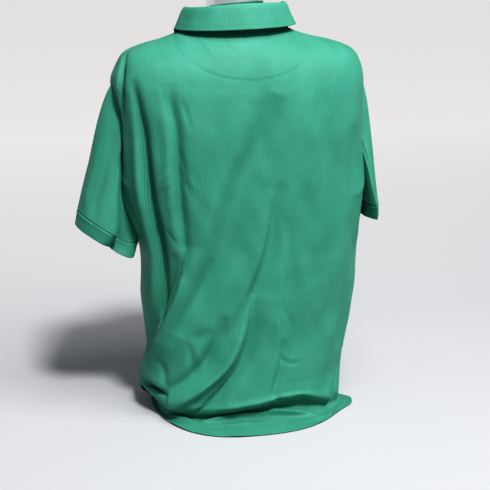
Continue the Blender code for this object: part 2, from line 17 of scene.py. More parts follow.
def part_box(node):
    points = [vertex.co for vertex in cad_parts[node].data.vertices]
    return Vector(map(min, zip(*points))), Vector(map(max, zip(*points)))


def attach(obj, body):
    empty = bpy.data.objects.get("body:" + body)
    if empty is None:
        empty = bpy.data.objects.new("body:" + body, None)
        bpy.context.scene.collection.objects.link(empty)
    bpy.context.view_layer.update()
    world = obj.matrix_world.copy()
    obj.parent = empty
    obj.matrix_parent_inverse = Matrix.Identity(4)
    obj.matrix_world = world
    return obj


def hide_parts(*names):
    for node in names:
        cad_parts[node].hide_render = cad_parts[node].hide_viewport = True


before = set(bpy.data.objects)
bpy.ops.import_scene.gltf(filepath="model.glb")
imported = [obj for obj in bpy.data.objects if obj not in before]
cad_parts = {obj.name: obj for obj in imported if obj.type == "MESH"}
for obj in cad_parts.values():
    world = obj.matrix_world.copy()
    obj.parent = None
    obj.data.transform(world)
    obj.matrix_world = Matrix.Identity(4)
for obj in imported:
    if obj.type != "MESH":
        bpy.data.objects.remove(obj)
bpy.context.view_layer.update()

MM = 0.001
KNIT = 1.1 * MM
SEAM_GAP = 0.3 * MM

# ---------------------------------------------------------------- the shirt's rings
# Each ring of the body has its heights at the back, the sides and the front, its half width
# and depths, where its middle lies across, and how square it is (2 is an ellipse).
Ring = namedtuple("Ring", "back_z side_z front_z half_width back_y front_y middle_x squareness")
RINGS = (
    Ring(0.682, 0.688, 0.612, 0.080, 0.060, 0.074, 0.014, 2.0),  # neck seam
    Ring(0.668, 0.676, 0.596, 0.096, 0.073, 0.088, 0.015, 2.0),
    Ring(0.650, 0.664, 0.578, 0.129, 0.088, 0.101, 0.013, 2.1),
    Ring(0.631, 0.654, 0.560, 0.1675, 0.099, 0.110, 0.0095, 2.4),
    Ring(0.612, 0.641, 0.544, 0.1975, 0.107, 0.115, 0.0075, 2.6),
    Ring(0.592, 0.618, 0.530, 0.2120, 0.113, 0.118, 0.0080, 2.7),
    Ring(0.570, 0.588, 0.512, 0.2195, 0.118, 0.121, 0.0095, 2.7),  # sleeve head
    Ring(0.515, 0.528, 0.470, 0.2150, 0.123, 0.124, 0.0060, 2.8),
    Ring(0.455, 0.462, 0.424, 0.2145, 0.124, 0.124, 0.0055, 2.8),
    Ring(0.395, 0.398, 0.376, 0.2135, 0.124, 0.122, 0.0015, 2.8),  # underarm
    Ring(0.300, 0.300, 0.290, 0.195, 0.123, 0.120, -0.010, 2.7),
    Ring(0.200, 0.200, 0.198, 0.189, 0.122, 0.119, -0.006, 2.6),
    Ring(0.115, 0.115, 0.115, 0.178, 0.123, 0.119, -0.005, 2.6),
    Ring(0.070, 0.070, 0.060, 0.180, 0.126, 0.120, 0.003, 2.5),  # top of the side vents
)
TIP, UNDERARM, VENT = 6, 9, 13

# Below the vents each panel ends by itself: how far it stands out of the last ring, and how
# far its ends move, at the wearer's left inward, and at the right outward and backward.
HemRow = namedtuple("HemRow", "back_z back_out front_z front_out left_in right_out right_back")
HEM_ROWS = (
    HemRow(0.044, 0.002, 0.036, 0.004, -0.006, -0.003, 0.000),
    HemRow(0.029, 0.005, 0.021, 0.006, 0.010, -0.005, 0.000),
    HemRow(0.018, -0.006, 0.012, 0.003, 0.019, -0.005, 0.000),
    HemRow(0.009, -0.024, 0.006, 0.002, 0.024, -0.004, 0.004),
    HemRow(0.002, -0.010, 0.002, 0.006, 0.022, -0.002, 0.010),
    HemRow(0.002, 0.024, 0.002, 0.014, 0.018, 0.005, 0.023),
    HemRow(0.002, 0.053, 0.002, 0.022, 0.016, 0.016, 0.036),
)
# The back's overhang above the hem is higher in places: by how much at each distance from
# the centre line, and the share of it that each row from the vents' top down takes.
Overhang = namedtuple("Overhang", "across lift")
OVERHANG = (Overhang(-0.200, 0.004), Overhang(-0.160, 0.000), Overhang(-0.125, 0.004),
            Overhang(-0.085, 0.019), Overhang(-0.045, 0.020), Overhang(0.000, 0.010),
            Overhang(0.050, 0.003), Overhang(0.110, 0.000), Overhang(0.220, 0.000))
OVERHANG_SHARE = (0.0, 0.5, 0.9, 1.0, 0.8, 0.0, 0.0, 0.0)
HEM_SKEW = 0.035  # the hem's spread grows towards the wearer's left
HEM = VENT + len(HEM_ROWS)
VENT_SPREAD = 0.004  # how far each panel parts from the side line at the hem
CORNER_POWER = 12  # keeps the hem's shifts close to its two ends
SPREAD_POWER = 0.7  # how soon the hem's spread fades towards its ends
ARMHOLE_Y = {"back": 0.028, "front": 0.060}  # half widths of the armhole at its middle
ARMHOLE_POWER = 0.6
ARMHOLE_RECESS, RECESS_WIDTH = 0.017, 0.018  # its seam is drawn in this far
NOTCH_HALF, NOTCH_END = 0.015, 6.9  # the front's opening at the neck, in metres and rings
HEM_FOLD = 0.020  # the hem is turned up this far
HEM_STITCHES = (HEM_FOLD - 0.0015, HEM_FOLD - 0.0055)
MOON_HALF, MOON_DEEP = 0.140, 4.45  # the half-moon's half width, and its depth in rings
MOON_CLOTH = 0.9 * MM
STITCH_SIT = 0.05 * MM  # how far the stitches sit out of the cloth
SEAM_STITCH, COLLAR_STITCH, PLACKET_STITCH = 6 * MM, 6 * MM, 3.5 * MM  # in from the edges
BAND_STITCH = 18.5 * MM  # up from a sleeve's end
FLOOR_GAP = 0.4 * MM  # the lowest cloth stays this far off the table

# ---------------------------------------------------------------- folds
# All in millimetres. A fold runs from start over middle to end, each given as (across, down):
# "across" is measured along the cloth from the centre line towards the wearer's left, "down"
# is the height, and below the vents it goes on along the cloth, so that the hem's edge is at
# about -65. Right and left are how far the fold reaches towards the wearer's right and left.
# A depth below 0 is a trough and one above 0 a ridge.
Fold = namedtuple("Fold", "start middle end right left depth")
BACK_FOLDS = (
    # the groove that runs down the shoulder into the armhole's seam
    Fold((256, 652), (238, 600), (243, 535), 10, 5, -15),
    # the deep valley by the left armhole, steep on its left, and the ridge it leaves there
    Fold((204, 606), (184, 390), (186, 155), 10.5, 6, -23.5),
    Fold((208, 560), (200, 380), (202, 190), 6, 12, 7),
    # the thin valley beside it
    Fold((139, 600), (132, 430), (142, 262), 11, 4.5, -13),
    Fold((152, 560), (146, 430), (154, 300), 5, 9, 4),
    # small creases that join the two valleys, and those beside the thin one
    Fold((164, 448), (152, 468), (136, 496), 3, 2.2, 2),
    Fold((172, 424), (158, 440), (141, 458), 3.4, 2.6, 2.4),
    Fold((174, 400), (160, 416), (142, 428), 4, 3, -2.2),
    Fold((168, 372), (158, 388), (144, 400), 3.4, 2.6, 1.8),
    Fold((166, 352), (154, 338), (144, 318), 3.4, 2.8, -2.4),
    Fold((128, 494), (119, 458), (112, 416), 2.8, 3.6, -2.6),
    Fold((126, 470), (112, 440), (98, 424), 2.6, 2.6, 1.4),
    Fold((126, 448), (116, 424), (106, 404), 2.6, 2.6, -1.4),
    # the broad slant towards the lower left
    Fold((-44, 580), (42, 382), (140, 160), 24, 23, -15.8),
    Fold((0, 560), (74, 400), (128, 270), 14, 18, 5),
    Fold((88, 300), (124, 215), (162, 140), 10, 11, -5),
    # the left part of the body stands proud of its side, in a ridge that ends in the bulge
    Fold((137, 320), (162, 196), (262, 44), 30, 4.5, 18),
    Fold((150, 310), (182, 204), (270, 74), 5, 18, -11),
    Fold((184, 112), (172, 86), (162, 52), 8, 6, -4),
    Fold((264, 50), (208, 52), (158, 43), 8, 15, -24),
    # the long fold from the middle of the back that swoops to the low left corner
    Fold((-44, 430), (-2, 290), (44, 160), 16, 7, -9),
    Fold((-30, 420), (13, 290), (60, 170), 5, 18, 6),
    Fold((22, 235), (70, 94), (190, 16), 7, 12, 19),
    Fold((10, 225), (52, 78), (150, 2), 20, 6, -15),
    Fold((62, 200), (104, 108), (176, 50), 12, 10, -11),
    Fold((122, 160), (106, 162), (88, 178), 8, 10, -3),
    Fold((126, 150), (122, 122), (120, 90), 6, 6, -2.6),
    Fold((112, 140), (106, 120), (104, 96), 6, 6, 1.8),
    # the soft upright creases on the right half
    Fold((-48, 370), (-46, 220), (-41, 100), 14, 5, -5),
    Fold((-34, 380), (-32, 240), (-28, 140), 5, 12, 1.6),
    Fold((-41, 150), (-37, 90), (-31, 30), 9, 5, -7),
    Fold((-34, 134), (-48, 106), (-82, 110), 3, 3, -1.4),
    Fold((-34, 142), (-50, 116), (-80, 118), 2.8, 2.8, 0.9),
    Fold((-34, 100), (-52, 103), (-58, 74), 2.8, 2.8, 0.9),
    Fold((-38, 208), (-52, 186), (-56, 160), 2.8, 2.8, -1.4),
    Fold((-30, 206), (-26, 186), (-32, 166), 2.8, 2.8, 1.4),
    Fold((-92, 580), (-106, 440), (-108, 300), 24, 20, 4),
    Fold((-128, 540), (-148, 400), (-142, 220), 22, 18, -5),
    Fold((-194, 520), (-186, 400), (-190, 240), 14, 14, -5),
    Fold((-176, 260), (-166, 180), (-158, 110), 14, 14, -4),
    Fold((-70, 300), (-100, 200), (-150, 120), 16, 16, 2.4),
    Fold((-184, 108), (-164, 40), (-138, -6), 10, 6, -14),
    Fold((-168, 80), (-150, 34), (-128, 8), 6, 12, 5),
    # small creases near the collar, below the shoulder and round the underarm
    Fold((76, 672), (64, 656), (52, 632), 3, 3, 1.3),
    Fold((34, 668), (26, 652), (12, 644), 3, 3, -1),
    Fold((118, 576), (112, 552), (107, 522), 4, 4, -2),
    Fold((150, 600), (146, 572), (140, 540), 6, 4, -2.2),
    Fold((262, 404), (248, 376), (242, 310), 7, 7, 4),
    Fold((254, 440), (242, 424), (230, 430), 4.5, 4.5, 2),
    Fold((262, 480), (262, 415), (262, 350), 18, 18, 4),
    Fold((244, 404), (234, 370), (230, 320), 7, 5, -3.4),
    Fold((-246, 402), (-224, 372), (-216, 320), 8, 8, -4),
    Fold((-236, 420), (-208, 400), (-184, 392), 7, 7, 2.6),
    # the hem's folds on the table
    Fold((168, -8), (134, -16), (96, -28), 5.6, 5.6, 11),
    Fold((104, -22), (40, -12), (-18, -10), 6, 6, 13.5),
    Fold((-6, -8), (-64, -8), (-124, -24), 6, 6, 12),
    Fold((150, -30), (60, -36), (-20, -34), 6, 6, 3),
    Fold((56, -26), (50, -46), (52, -68), 4, 4, 2.2),
    Fold((-30, -32), (-100, -38), (-160, -32), 6, 6, 3.4),
    Fold((-66, -30), (-70, -52), (-66, -70), 6, 6, 2),
)
FRONT_FOLDS = (
    Fold((204, 520), (196, 380), (200, 180), 12, 8, -11),
    Fold((178, 500), (172, 380), (178, 220), 10, 10, 3.5),
    Fold((150, 520), (154, 360), (142, 160), 18, 12, -10),
    Fold((-155, 500), (-167, 340), (-155, 140), 12, 18, -9.5),
    Fold((-196, 480), (-202, 330), (-194, 180), 10, 10, -8),
    Fold((-122, 470), (-138, 330), (-132, 200), 14, 14, 3.5),
    Fold((-60, 400), (30, 260), (112, 120), 20, 24, -10),
    Fold((-20, 410), (66, 270), (136, 150), 12, 16, 4),
    Fold((34, 420), (-18, 300), (-80, 190), 12, 16, -5.5),
    Fold((60, 440), (88, 320), (122, 240), 8, 10, -4.8),
    Fold((-112, 220), (-60, 120), (30, 68), 16, 10, 8.5),
    Fold((-92, 180), (-52, 100), (20, 46), 10, 10, -7.5),
    Fold((156, 150), (130, 84), (100, 40), 9, 9, -5.5),
    Fold((30, 560), (66, 530), (110, 520), 8, 8, -2.4),
    Fold((-34, 560), (-70, 536), (-112, 530), 8, 8, -2.4),
    Fold((270, 396), (236, 372), (216, 330), 8, 8, -4.5),
    Fold((-262, 398), (-230, 380), (-206, 340), 8, 8, -4.5),
    Fold((-248, 420), (-214, 412), (-184, 410), 8, 8, 2.8),
    Fold((100, 12), (30, 2), (-70, 8), 8, 8, 3.6),
)

# Folds that run down a sleeve: their turn round it from its outer side, backward, in
# degrees, at its top, middle and low end; where they begin and end, as shares of its length
# (9 runs on through the band); how far they reach towards smaller (fore) and larger (aft)
# turns, in degrees; and their depth in millimetres.
SleeveFold = namedtuple("SleeveFold", "top middle low begin end fore aft depth")
SLEEVE_FOLDS = {
    "left": (
        SleeveFold(80, 125, 106, 0, 9, 17, 15, -30),
        SleeveFold(110, 156, 146, 0.2, 9, 12, 22, 5),
        SleeveFold(250, 242, 235, 0, 9, 20, 20, -8),
        SleeveFold(84, 72, 62, 0.02, 0.62, 6, 9, -2.6),
        SleeveFold(40, 50, 44, 0.1, 0.85, 5, 12, -2.6),
        SleeveFold(14, 26, 22, 0.1, 0.8, 6, 10, 2.2),
        SleeveFold(-30, 0, 8, 0.05, 0.8, 10, 10, -2.6),
        SleeveFold(200, 196, 190, 0, 9, 14, 14, -5),
        SleeveFold(300, 306, 310, 0.05, 0.8, 12, 12, -4),
    ),
    "right": (
        SleeveFold(50, 58, 66, 0, 9, 18, 12, -8),
        SleeveFold(290, 296, 300, 0, 9, 20, 20, -8),
        SleeveFold(76, 88, 96, 0.05, 0.8, 9, 6, -3.4),
        SleeveFold(24, 30, 34, 0.1, 0.7, 6, 10, -3),
        SleeveFold(-10, 2, 8, 0.05, 0.6, 8, 8, -3),
        SleeveFold(330, 326, 322, 0.05, 0.7, 10, 10, -3),
    ),
}

# ---------------------------------------------------------------- sleeves
OUT = {"left": 1, "right": -1}  # which way along x each side of the shirt lies
# A sleeve's open end is an oval: its middle, its half length and half depth, and which way
# the cloth hangs there.
Cuff = namedtuple("Cuff", "middle long_half half_depth hang")
CUFFS = {
    "left": Cuff((0.2478, 0.005, 0.315), (0.0508, 0.0, 0.032), 0.056, (0.20, 0.0, -0.98)),
    "right": Cuff((-0.2250, 0.010, 0.346), (-0.0130, 0.0, 0.002), 0.070, (-0.04, 0.0, -1.00)),
}
# the flat sizes of the sleeves and bands, round and down
SLEEVE_CUT = {"left": (0.46, 0.22), "right": (0.38, 0.18)}
BAND_CUT = {"left": (0.38, 0.027), "right": (0.30, 0.027)}
BAND_CLOTH = 1.6 * KNIT  # two layers, pressed
CUFF_TUCK = (0.004, 0.0, 0.016)  # the left cuff is drawn up beside the body
CUFF_WIDTH = 0.025
# how much cloth there is down to the band's seam, down to the open end, and round
SLEEVE_RUN, BAND_RUN, SLEEVE_ROUND = 0.21, 0.235, 0.36
# which way the cloth sets out from the armhole at its top, back, underarm and front
Leave = namedtuple("Leave", "outward backward up")
LEAVE_TOP = Leave(0.33, 0.00, -0.43)
LEAVE_BACK = Leave(0.30, 0.28, -0.38)
LEAVE_UNDERARM = Leave(0.60, 0.00, -0.28)
LEAVE_FRONT = Leave(0.30, -0.22, -0.38)
HANG_PULL = 0.45  # how strongly it then turns to hang like the band
STAND_OFF = {"left": 1.0, "right": 1.05}  # how far each sleeve's cloth stands off sideways

# ---------------------------------------------------------------- collar
# How far each row stands out of the neck seam and above it at the back, the sides and the
# front, and how far from the middle of the front it ends, in degrees.
CollarRow = namedtuple("CollarRow", "back_out back_up side_out side_up front_out front_up end")
COLLAR_ROWS = (
    CollarRow(-0.0026, 0.0006, -0.0026, 0.0006, -0.0034, 0.0008, 4.0),  # neck seam
    CollarRow(-0.0010, 0.0220, -0.0010, 0.0160, 0.0000, 0.0180, 4.0),
    CollarRow(0.0010, 0.0380, 0.0010, 0.0260, 0.0040, 0.0300, 4.5),
    CollarRow(0.0050, 0.0430, 0.0050, 0.0310, 0.0090, 0.0350, 6.0),  # top of the fold
    CollarRow(0.0105, 0.0390, 0.0105, 0.0270, 0.0160, 0.0290, 9.0),
    CollarRow(0.0170, 0.0220, 0.0180, 0.0100, 0.0250, 0.0000, 14.0),
    CollarRow(0.0240, 0.0020, 0.0255, -0.0060, 0.0330, -0.0340, 19.0),  # lower edge
)
COLLAR_TILT = 0.038  # the collar stands higher towards the wearer's right
COLLAR_CLOTH = 1.5 * MM

# ---------------------------------------------------------------- how finely each piece is made
PANEL_ROWS = (44, 44, 84, 56)  # shoulder, armhole, side, hem
BACK_COLUMNS, FRONT_COLUMNS = 150, 121
MOON_ROWS, MOON_COLUMNS, PLACKET_ROWS, PLACKET_COLUMNS = 40, 56, 60, 16
SLEEVE_ROWS, CUFF_ROWS = 84, 14
COLLAR_STEPS, COLLAR_COLUMNS = 9, 150
PATH_STEPS, LINE_STEPS = 36, 1201

# the lengths of the cloth's slight waves, and the height of a wave as a share of its length
RIPPLE_LENGTHS, RIPPLE_SHARE = (0.160, 0.110, 0.070, 0.048, 0.034), 0.0042


def blend(low, high, value):
    """0 below low, 1 above high, and a smooth step between."""
    u = np.clip((value - low) / (high - low), 0.0, 1.0)
    return u * u * (3 - 2 * u)


def bell(value, centre, width):
    """1 at the centre, fading to 0 on both sides of it."""
    return np.exp(-((value - centre) / width) ** 2)


def unit(vectors):
    return vectors / np.linalg.norm(vectors, axis=-1, keepdims=True)


def run_along(points, axis):
    """How far each point of a line or a grid is from the first one along an axis."""
    steps = np.linalg.norm(np.diff(points, axis=axis), axis=-1)
    first = np.zeros_like(np.take(steps, [0], axis))
    return np.concatenate([first, np.cumsum(steps, axis)], axis)


def smooth_read(values, place):
    """Read a list of values, or of rows of values, smoothly at fractional places."""
    values = np.asarray(values, float)
    place = np.clip(place, 0, len(values) - 1)
    i = np.minimum(place.astype(int), len(values) - 2)
    u = place - i
    pick = [values[np.clip(i + k, 0, len(values) - 1)] for k in (-1, 0, 1, 2)]
    if values.ndim > 1:
        u = u[..., None]
    before, here, after, beyond = pick
    return here + 0.5 * u * (
        after - before + u * (2 * before - 5 * here + 4 * after - beyond
                              + u * (3 * (here - after) + beyond - before)))


def ring_value(name, t):
    return smooth_read([getattr(ring, name) for ring in RINGS], np.asarray(t, float))


def hem_value(name, t, start):
    """A column of HEM_ROWS, which leaves the last ring's value smoothly."""
    values = [getattr(row, name) for row in HEM_ROWS]
    return smooth_read([start, start] + values, t - VENT + 1)


def body_surface(angle, t, panel):
    """Points of the smooth body at angles (radians) round ring t, before any fold."""
    angle, t = np.broadcast_arrays(np.asarray(angle, float), np.asarray(t, float))
    cos, sin = np.cos(angle), np.sin(angle)
    power = 2 / ring_value("squareness", t)
    depth = np.where(sin > 0, ring_value("back_y", t), ring_value("front_y", t))
    across = np.sign(cos) * np.abs(cos) ** power
    along = np.sign(sin) * np.abs(sin) ** power
    x = ring_value("middle_x", t) + ring_value("half_width", t) * across
    y = depth * along
    end_z = np.where(sin > 0, ring_value("back_z", t), ring_value("front_z", t))
    side_z = ring_value("side_z", t)
    z = side_z + (end_z - side_z) * sin ** 2
    if (t > VENT - 1).any():
        out = hem_value(panel + "_out", t, 0.0)
        if panel == "back":
            out = out + HEM_SKEW * x * blend(VENT + 4, HEM, t)
        left = np.where(cos > 0, hem_value("left_in", t, 0.0), 0.0)
        right = np.where(cos < 0, hem_value("right_out", t, 0.0), 0.0)
        if panel == "front":
            right = np.minimum(right, 0)  # only the back's tail lies out to the side
        x = x - left * cos ** 2 - right * cos ** CORNER_POWER
        y = y + out * sin * np.abs(sin) ** SPREAD_POWER
        if panel == "back":
            tail = np.where(cos < 0, hem_value("right_back", t, 0.0), 0.0)
            y = y + tail * cos ** CORNER_POWER
        start = getattr(RINGS[VENT], panel + "_z")
        low = hem_value(panel + "_z", t, start)
        if panel == "back":
            places = np.array([place.across for place in OVERHANG])
            lifts = smooth_read([place.lift for place in OVERHANG],
                                np.interp(x, places, np.arange(len(places))))
            low = low + lifts * smooth_read(OVERHANG_SHARE, t - VENT)
        hanging = low + (z - start) * (1 - blend(VENT, VENT + 1, t))
        z = np.where(t > VENT, hanging, z)
    return np.stack([x, y, z], -1)


def edge_angle(t, panel):
    """How far from the side line a panel's edge is, as an angle at ring t: the armhole."""
    share = np.clip((t - TIP) / (UNDERARM - TIP), 0, 1)
    y = ARMHOLE_Y[panel] * np.clip(np.sin(math.pi * share), 0, 1) ** ARMHOLE_POWER
    depth = ring_value(panel + "_y", t)
    return np.arcsin((y / depth) ** (ring_value("squareness", t) / 2))


def fold_height(folds, across, down):
    """How far the folds move each point out of the cloth."""
    total = np.zeros_like(across)
    u = np.linspace(0, 1, PATH_STEPS)[:, None]
    for fold in folds:
        start, middle, end = (np.array(p) * MM for p in fold[:3])
        control = 2 * middle - (start + end) / 2
        path = (1 - u) ** 2 * start + 2 * u * (1 - u) * control + u ** 2 * end
        reach = 3 * max(fold.right, fold.left) * MM
        near = ((across > path[:, 0].min() - reach) & (across < path[:, 0].max() + reach)
                & (down > path[:, 1].min() - reach) & (down < path[:, 1].max() + reach))
        if not near.any():
            continue
        spot = np.stack([across[near], down[near]], -1)
        legs = path[1:] - path[:-1]
        from_leg = spot[:, None] - path[:-1]
        share = np.clip((from_leg * legs).sum(-1) / (legs ** 2).sum(-1), 0, 1)
        gap = from_leg - share[..., None] * legs
        distance = np.linalg.norm(gap, axis=-1)
        nearest = distance.argmin(-1)
        rows = np.arange(len(spot))
        place = (nearest + share[rows, nearest]) / (PATH_STEPS - 1)
        leg = legs[nearest]
        side = gap[rows, nearest, 0] * -leg[:, 1] + gap[rows, nearest, 1] * leg[:, 0]
        width = np.where(side > 0, fold.left, fold.right) * MM
        taper = np.sin(math.pi * np.clip(place, 0.0, 1.0)) ** 0.7
        total[near] += fold.depth * MM * taper * bell(distance[rows, nearest], 0, width)
    return total


def cloth_ripple(across, down, seed):
    """Slight unevenness of worn cloth: a few crossing waves of different lengths."""
    random = np.random.default_rng(seed)
    total = np.zeros_like(across)
    for length in RIPPLE_LENGTHS:
        for _ in range(3):
            turn, phase = random.uniform(-0.9, 0.9), random.uniform(0, 2 * math.pi)
            wave = (across * math.cos(turn) + down * math.sin(turn)) * 2 * math.pi / length
            total += length * RIPPLE_SHARE * np.sin(wave + phase)
    return total


def grid_normals(points, ring=False):
    """Normals of a grid of points, whose rows go down and whose columns go round."""
    def slope(axis, wraps):
        if wraps:
            return np.roll(points, -1, axis) - np.roll(points, 1, axis)
        return np.gradient(points, axis=axis)
    return unit(np.cross(slope(0, False), slope(1, ring)))


class Panel:
    """The back or the front: a fine grid of points with normals and cloth coordinates."""

    def __init__(self, side):
        self.side, self.turn = side, 1 if side == "back" else -1
        stops = (0, TIP, UNDERARM, VENT, HEM)
        self.rings = np.concatenate(
            [np.linspace(a, b, n, endpoint=False)
             for a, b, n in zip(stops, stops[1:], PANEL_ROWS)] + [[HEM]])
        if side == "front":
            nearest = np.abs(self.rings - NOTCH_END).argmin()
            self.rings[nearest] = NOTCH_END
            self.notch_row = nearest
        rows, across = [], []
        for t in self.rings:
            edge = float(edge_angle(np.array([t]), side)[0])
            angles = self.turn * np.linspace(edge, math.pi - edge, LINE_STEPS)
            line = body_surface(angles, t, side)
            length = run_along(line, 0)
            middle = length[-1] / 2
            if side == "back":
                at = np.linspace(0, length[-1], BACK_COLUMNS + 1)
            else:
                half = FRONT_COLUMNS // 2 + 1
                at = np.concatenate([np.linspace(0, middle - NOTCH_HALF, half),
                                     np.linspace(middle + NOTCH_HALF, length[-1], half)])
            rows.append(np.stack([np.interp(at, length, line[:, k]) for k in range(3)], -1))
            across.append(middle - at)
        base, self.across = np.array(rows), np.array(across)
        self.fall = run_along(base, 0)
        vent = np.abs(self.rings - VENT).argmin()
        below = (self.rings > VENT)[:, None]
        self.down = np.where(below, base[vent, :, 2] - (self.fall - self.fall[vent]),
                             base[..., 2])
        self.points = self.with_folds(base)
        self.normals = self.turn * grid_normals(self.points)
        seams = (self.rings <= TIP) | ((self.rings >= UNDERARM) & (self.rings <= VENT))
        for edge in (0, -1):
            flat = self.normals[seams, edge]
            flat[:, 1] = 0
            self.normals[seams, edge] = unit(flat)
        spread = VENT_SPREAD * np.clip((self.rings - VENT) / (HEM - VENT), 0, 1)
        self.points[..., 1] += self.turn * (SEAM_GAP / 2 + spread)[:, None]
        self.armhole_rows = np.flatnonzero((self.rings >= TIP - 1e-9)
                                           & (self.rings <= UNDERARM + 1e-9))

    def with_folds(self, base):
        normals = self.turn * grid_normals(base)
        from_edge = self.across.max(1)[:, None] - np.abs(self.across)
        opening = np.clip(np.sin(math.pi * (self.rings - TIP) / (UNDERARM - TIP)), 0, 1)
        inside = (self.rings > TIP) & (self.rings < UNDERARM)
        opening = np.where(inside, opening, 0)[:, None]
        folds = BACK_FOLDS if self.side == "back" else FRONT_FOLDS
        height = fold_height(folds, self.across, self.down)
        shoulders = blend(0.60, 0.50, self.down) * 0.8 + 0.2
        height += cloth_ripple(self.across, self.down, 3 + self.turn) * shoulders
        if self.side == "front":
            height *= np.where(self.down > 0.44, blend(0.018, 0.05, np.abs(self.across)), 1.0)
        height *= np.maximum(blend(0, 0.03, from_edge), opening)
        on_table = blend(0.008, 0.030, base[..., 2])
        height = np.where(self.rings[:, None] > VENT + 4,
                          np.maximum(height, 0) * 0.9, height * on_table)
        height -= ARMHOLE_RECESS * opening * (1 - blend(0, RECESS_WIDTH, from_edge))
        height -= 0.6 * MM * opening * bell(from_edge, 4 * MM, 1.2 * MM)
        height += self.trims()
        moved = base + normals * height[..., None]
        moved[..., 2] = np.maximum(moved[..., 2], KNIT + FLOOR_GAP)
        return moved

    def trims(self):
        """The raised hem, the sewn-in lines beside it and, on the back, the half-moon."""
        from_hem = self.down - self.down[-1]
        hem = np.where(self.rings[:, None] > VENT + 3, 1.0, 0.0)
        rise = hem * 0.7 * MM * (1 - blend(HEM_FOLD - MM, HEM_FOLD + MM, from_hem))
        for line in HEM_STITCHES:
            rise -= hem * 0.5 * MM * bell(from_hem, line, 1.1 * MM)
        if self.side == "back":
            ring = self.rings[:, None]
            reach = np.sqrt((self.across / MOON_HALF) ** 2 + (ring / MOON_DEEP) ** 2) - 1
            rise += 0.6 * MM * (1 - blend(-0.012, 0.012, reach)) - MM * bell(reach, 0, 0.014)
        return rise

    def at(self, ring, across):
        """The point and normal at a ring number and a distance from the centre line."""
        row = float(np.interp(ring, self.rings, np.arange(len(self.rings))))
        low = min(int(row), len(self.rings) - 2)
        found = []
        for grid in (self.points, self.normals):
            pair = [np.array([np.interp(across, self.across[r, ::-1], grid[r, ::-1, k])
                              for k in range(3)]) for r in (low, low + 1)]
            found.append(pair[0] + (row - low) * (pair[1] - pair[0]))
        return found[0], unit(found[1])


# ---------------------------------------------------------------- meshes
def add_object(name, data):
    obj = bpy.data.objects.new(name, data)
    bpy.context.scene.collection.objects.link(obj)
    return obj


def mesh_piece(name, points, faces, uv=None):
    mesh = bpy.data.meshes.new(name)
    mesh.from_pydata(np.asarray(points, float).tolist(), [], [list(map(int, f)) for f in faces])
    mesh.polygons.foreach_set("use_smooth", [True] * len(mesh.polygons))
    if uv is not None:
        layer = mesh.uv_layers.new(name="cloth")
        corner = np.zeros(len(mesh.loops), int)
        mesh.loops.foreach_get("vertex_index", corner)
        layer.data.foreach_set("uv", np.asarray(uv, float)[corner].ravel())
    mesh.update()
    return add_object(name, mesh)


def cloth_wall(name, outer, normals, cloth, uv, wrap=False, flip=False, skip=()):
    """A closed wall of cloth under a grid of outer points, with rims round its edges."""
    rows, columns = outer.shape[:2]
    inner = outer - normals * cloth
    inner[..., 2] = np.maximum(inner[..., 2], FLOOR_GAP / 2)
    if wrap:
        outer, inner = (np.concatenate([g, g[:, :1]], 1) for g in (outer, inner))
        columns += 1
    index = np.arange(rows * columns).reshape(rows, columns)
    quads = np.stack([index[:-1, :-1], index[1:, :-1], index[1:, 1:], index[:-1, 1:]], -1)
    keep = np.ones((rows - 1, columns - 1), bool)
    for r, c in skip:
        keep[r, c] = False
    quads = quads[keep]
    if flip:
        quads = quads[:, ::-1]
    edges = dict.fromkeys(
        pair for k in range(4)
        for pair in zip(quads[:, k].tolist(), quads[:, (k + 1) % 4].tolist()))
    # where the grid closes on itself its two ends meet, and need no rim
    ends = [set(index[:, c].tolist()) for c in (0, -1)] if wrap else []
    rim = [(u, v) for u, v in edges
           if (v, u) not in edges and not any(u in end and v in end for end in ends)]
    count = rows * columns
    faces = quads.tolist() + (quads[:, ::-1] + count).tolist()
    faces += [[v, u, u + count, v + count] for u, v in rim]
    points = np.concatenate([outer.reshape(-1, 3), inner.reshape(-1, 3)])
    obj = mesh_piece(name, points, faces, np.tile(uv.reshape(-1, 2), (2, 1)))
    clean_mesh(obj, 0.002 * MM if wrap else 0)
    return obj


def clean_mesh(obj, merge, outward=False):
    """Merge points that meet, drop those without a face, and turn the faces outward."""
    work = bmesh.new()
    work.from_mesh(obj.data)
    if merge:
        bmesh.ops.remove_doubles(work, verts=work.verts, dist=merge)
    loose = [v for v in work.verts if not v.link_faces]
    bmesh.ops.delete(work, geom=loose, context="VERTS")
    if outward:
        bmesh.ops.recalc_face_normals(work, faces=work.faces)
    work.to_mesh(obj.data)
    work.free()


# ---------------------------------------------------------------- materials
def linear(code):
    """An sRGB hex colour as linear red, green, blue and alpha."""
    parts = [int(code[i:i + 2], 16) / 255 for i in (1, 3, 5)]
    return [c / 12.92 if c <= 0.04045 else ((c + 0.055) / 1.055) ** 2.4 for c in parts] + [1.0]


def set_inputs(tree, node, inputs):
    """Give each input a value, or link it to a socket or to a node's first output."""
    for name, source in inputs.items():
        if isinstance(source, bpy.types.Node):
            source = source.outputs[0]
        if isinstance(source, bpy.types.NodeSocket):
            tree.links.new(source, node.inputs[name])
        else:
            node.inputs[name].default_value = source


def add_node(tree, kind, inputs=(), **settings):
    """Add a node with its own settings and its inputs."""
    node = tree.nodes.new(kind)
    for key, value in settings.items():
        setattr(node, key, value)
    set_inputs(tree, node, dict(inputs))
    return node


def new_material(name):
    material = bpy.data.materials.new(name)
    material.use_nodes = True
    tree = material.node_tree
    tree.nodes.clear()
    shader = add_node(tree, "ShaderNodeBsdfPrincipled")
    add_node(tree, "ShaderNodeOutputMaterial", {"Surface": shader})
    return material, tree, shader


WAVE_TURN = 0.31416  # a wave texture of scale 1 repeats after this length
WORN_MM = 71.4  # the size of the patches in which washed cloth varies


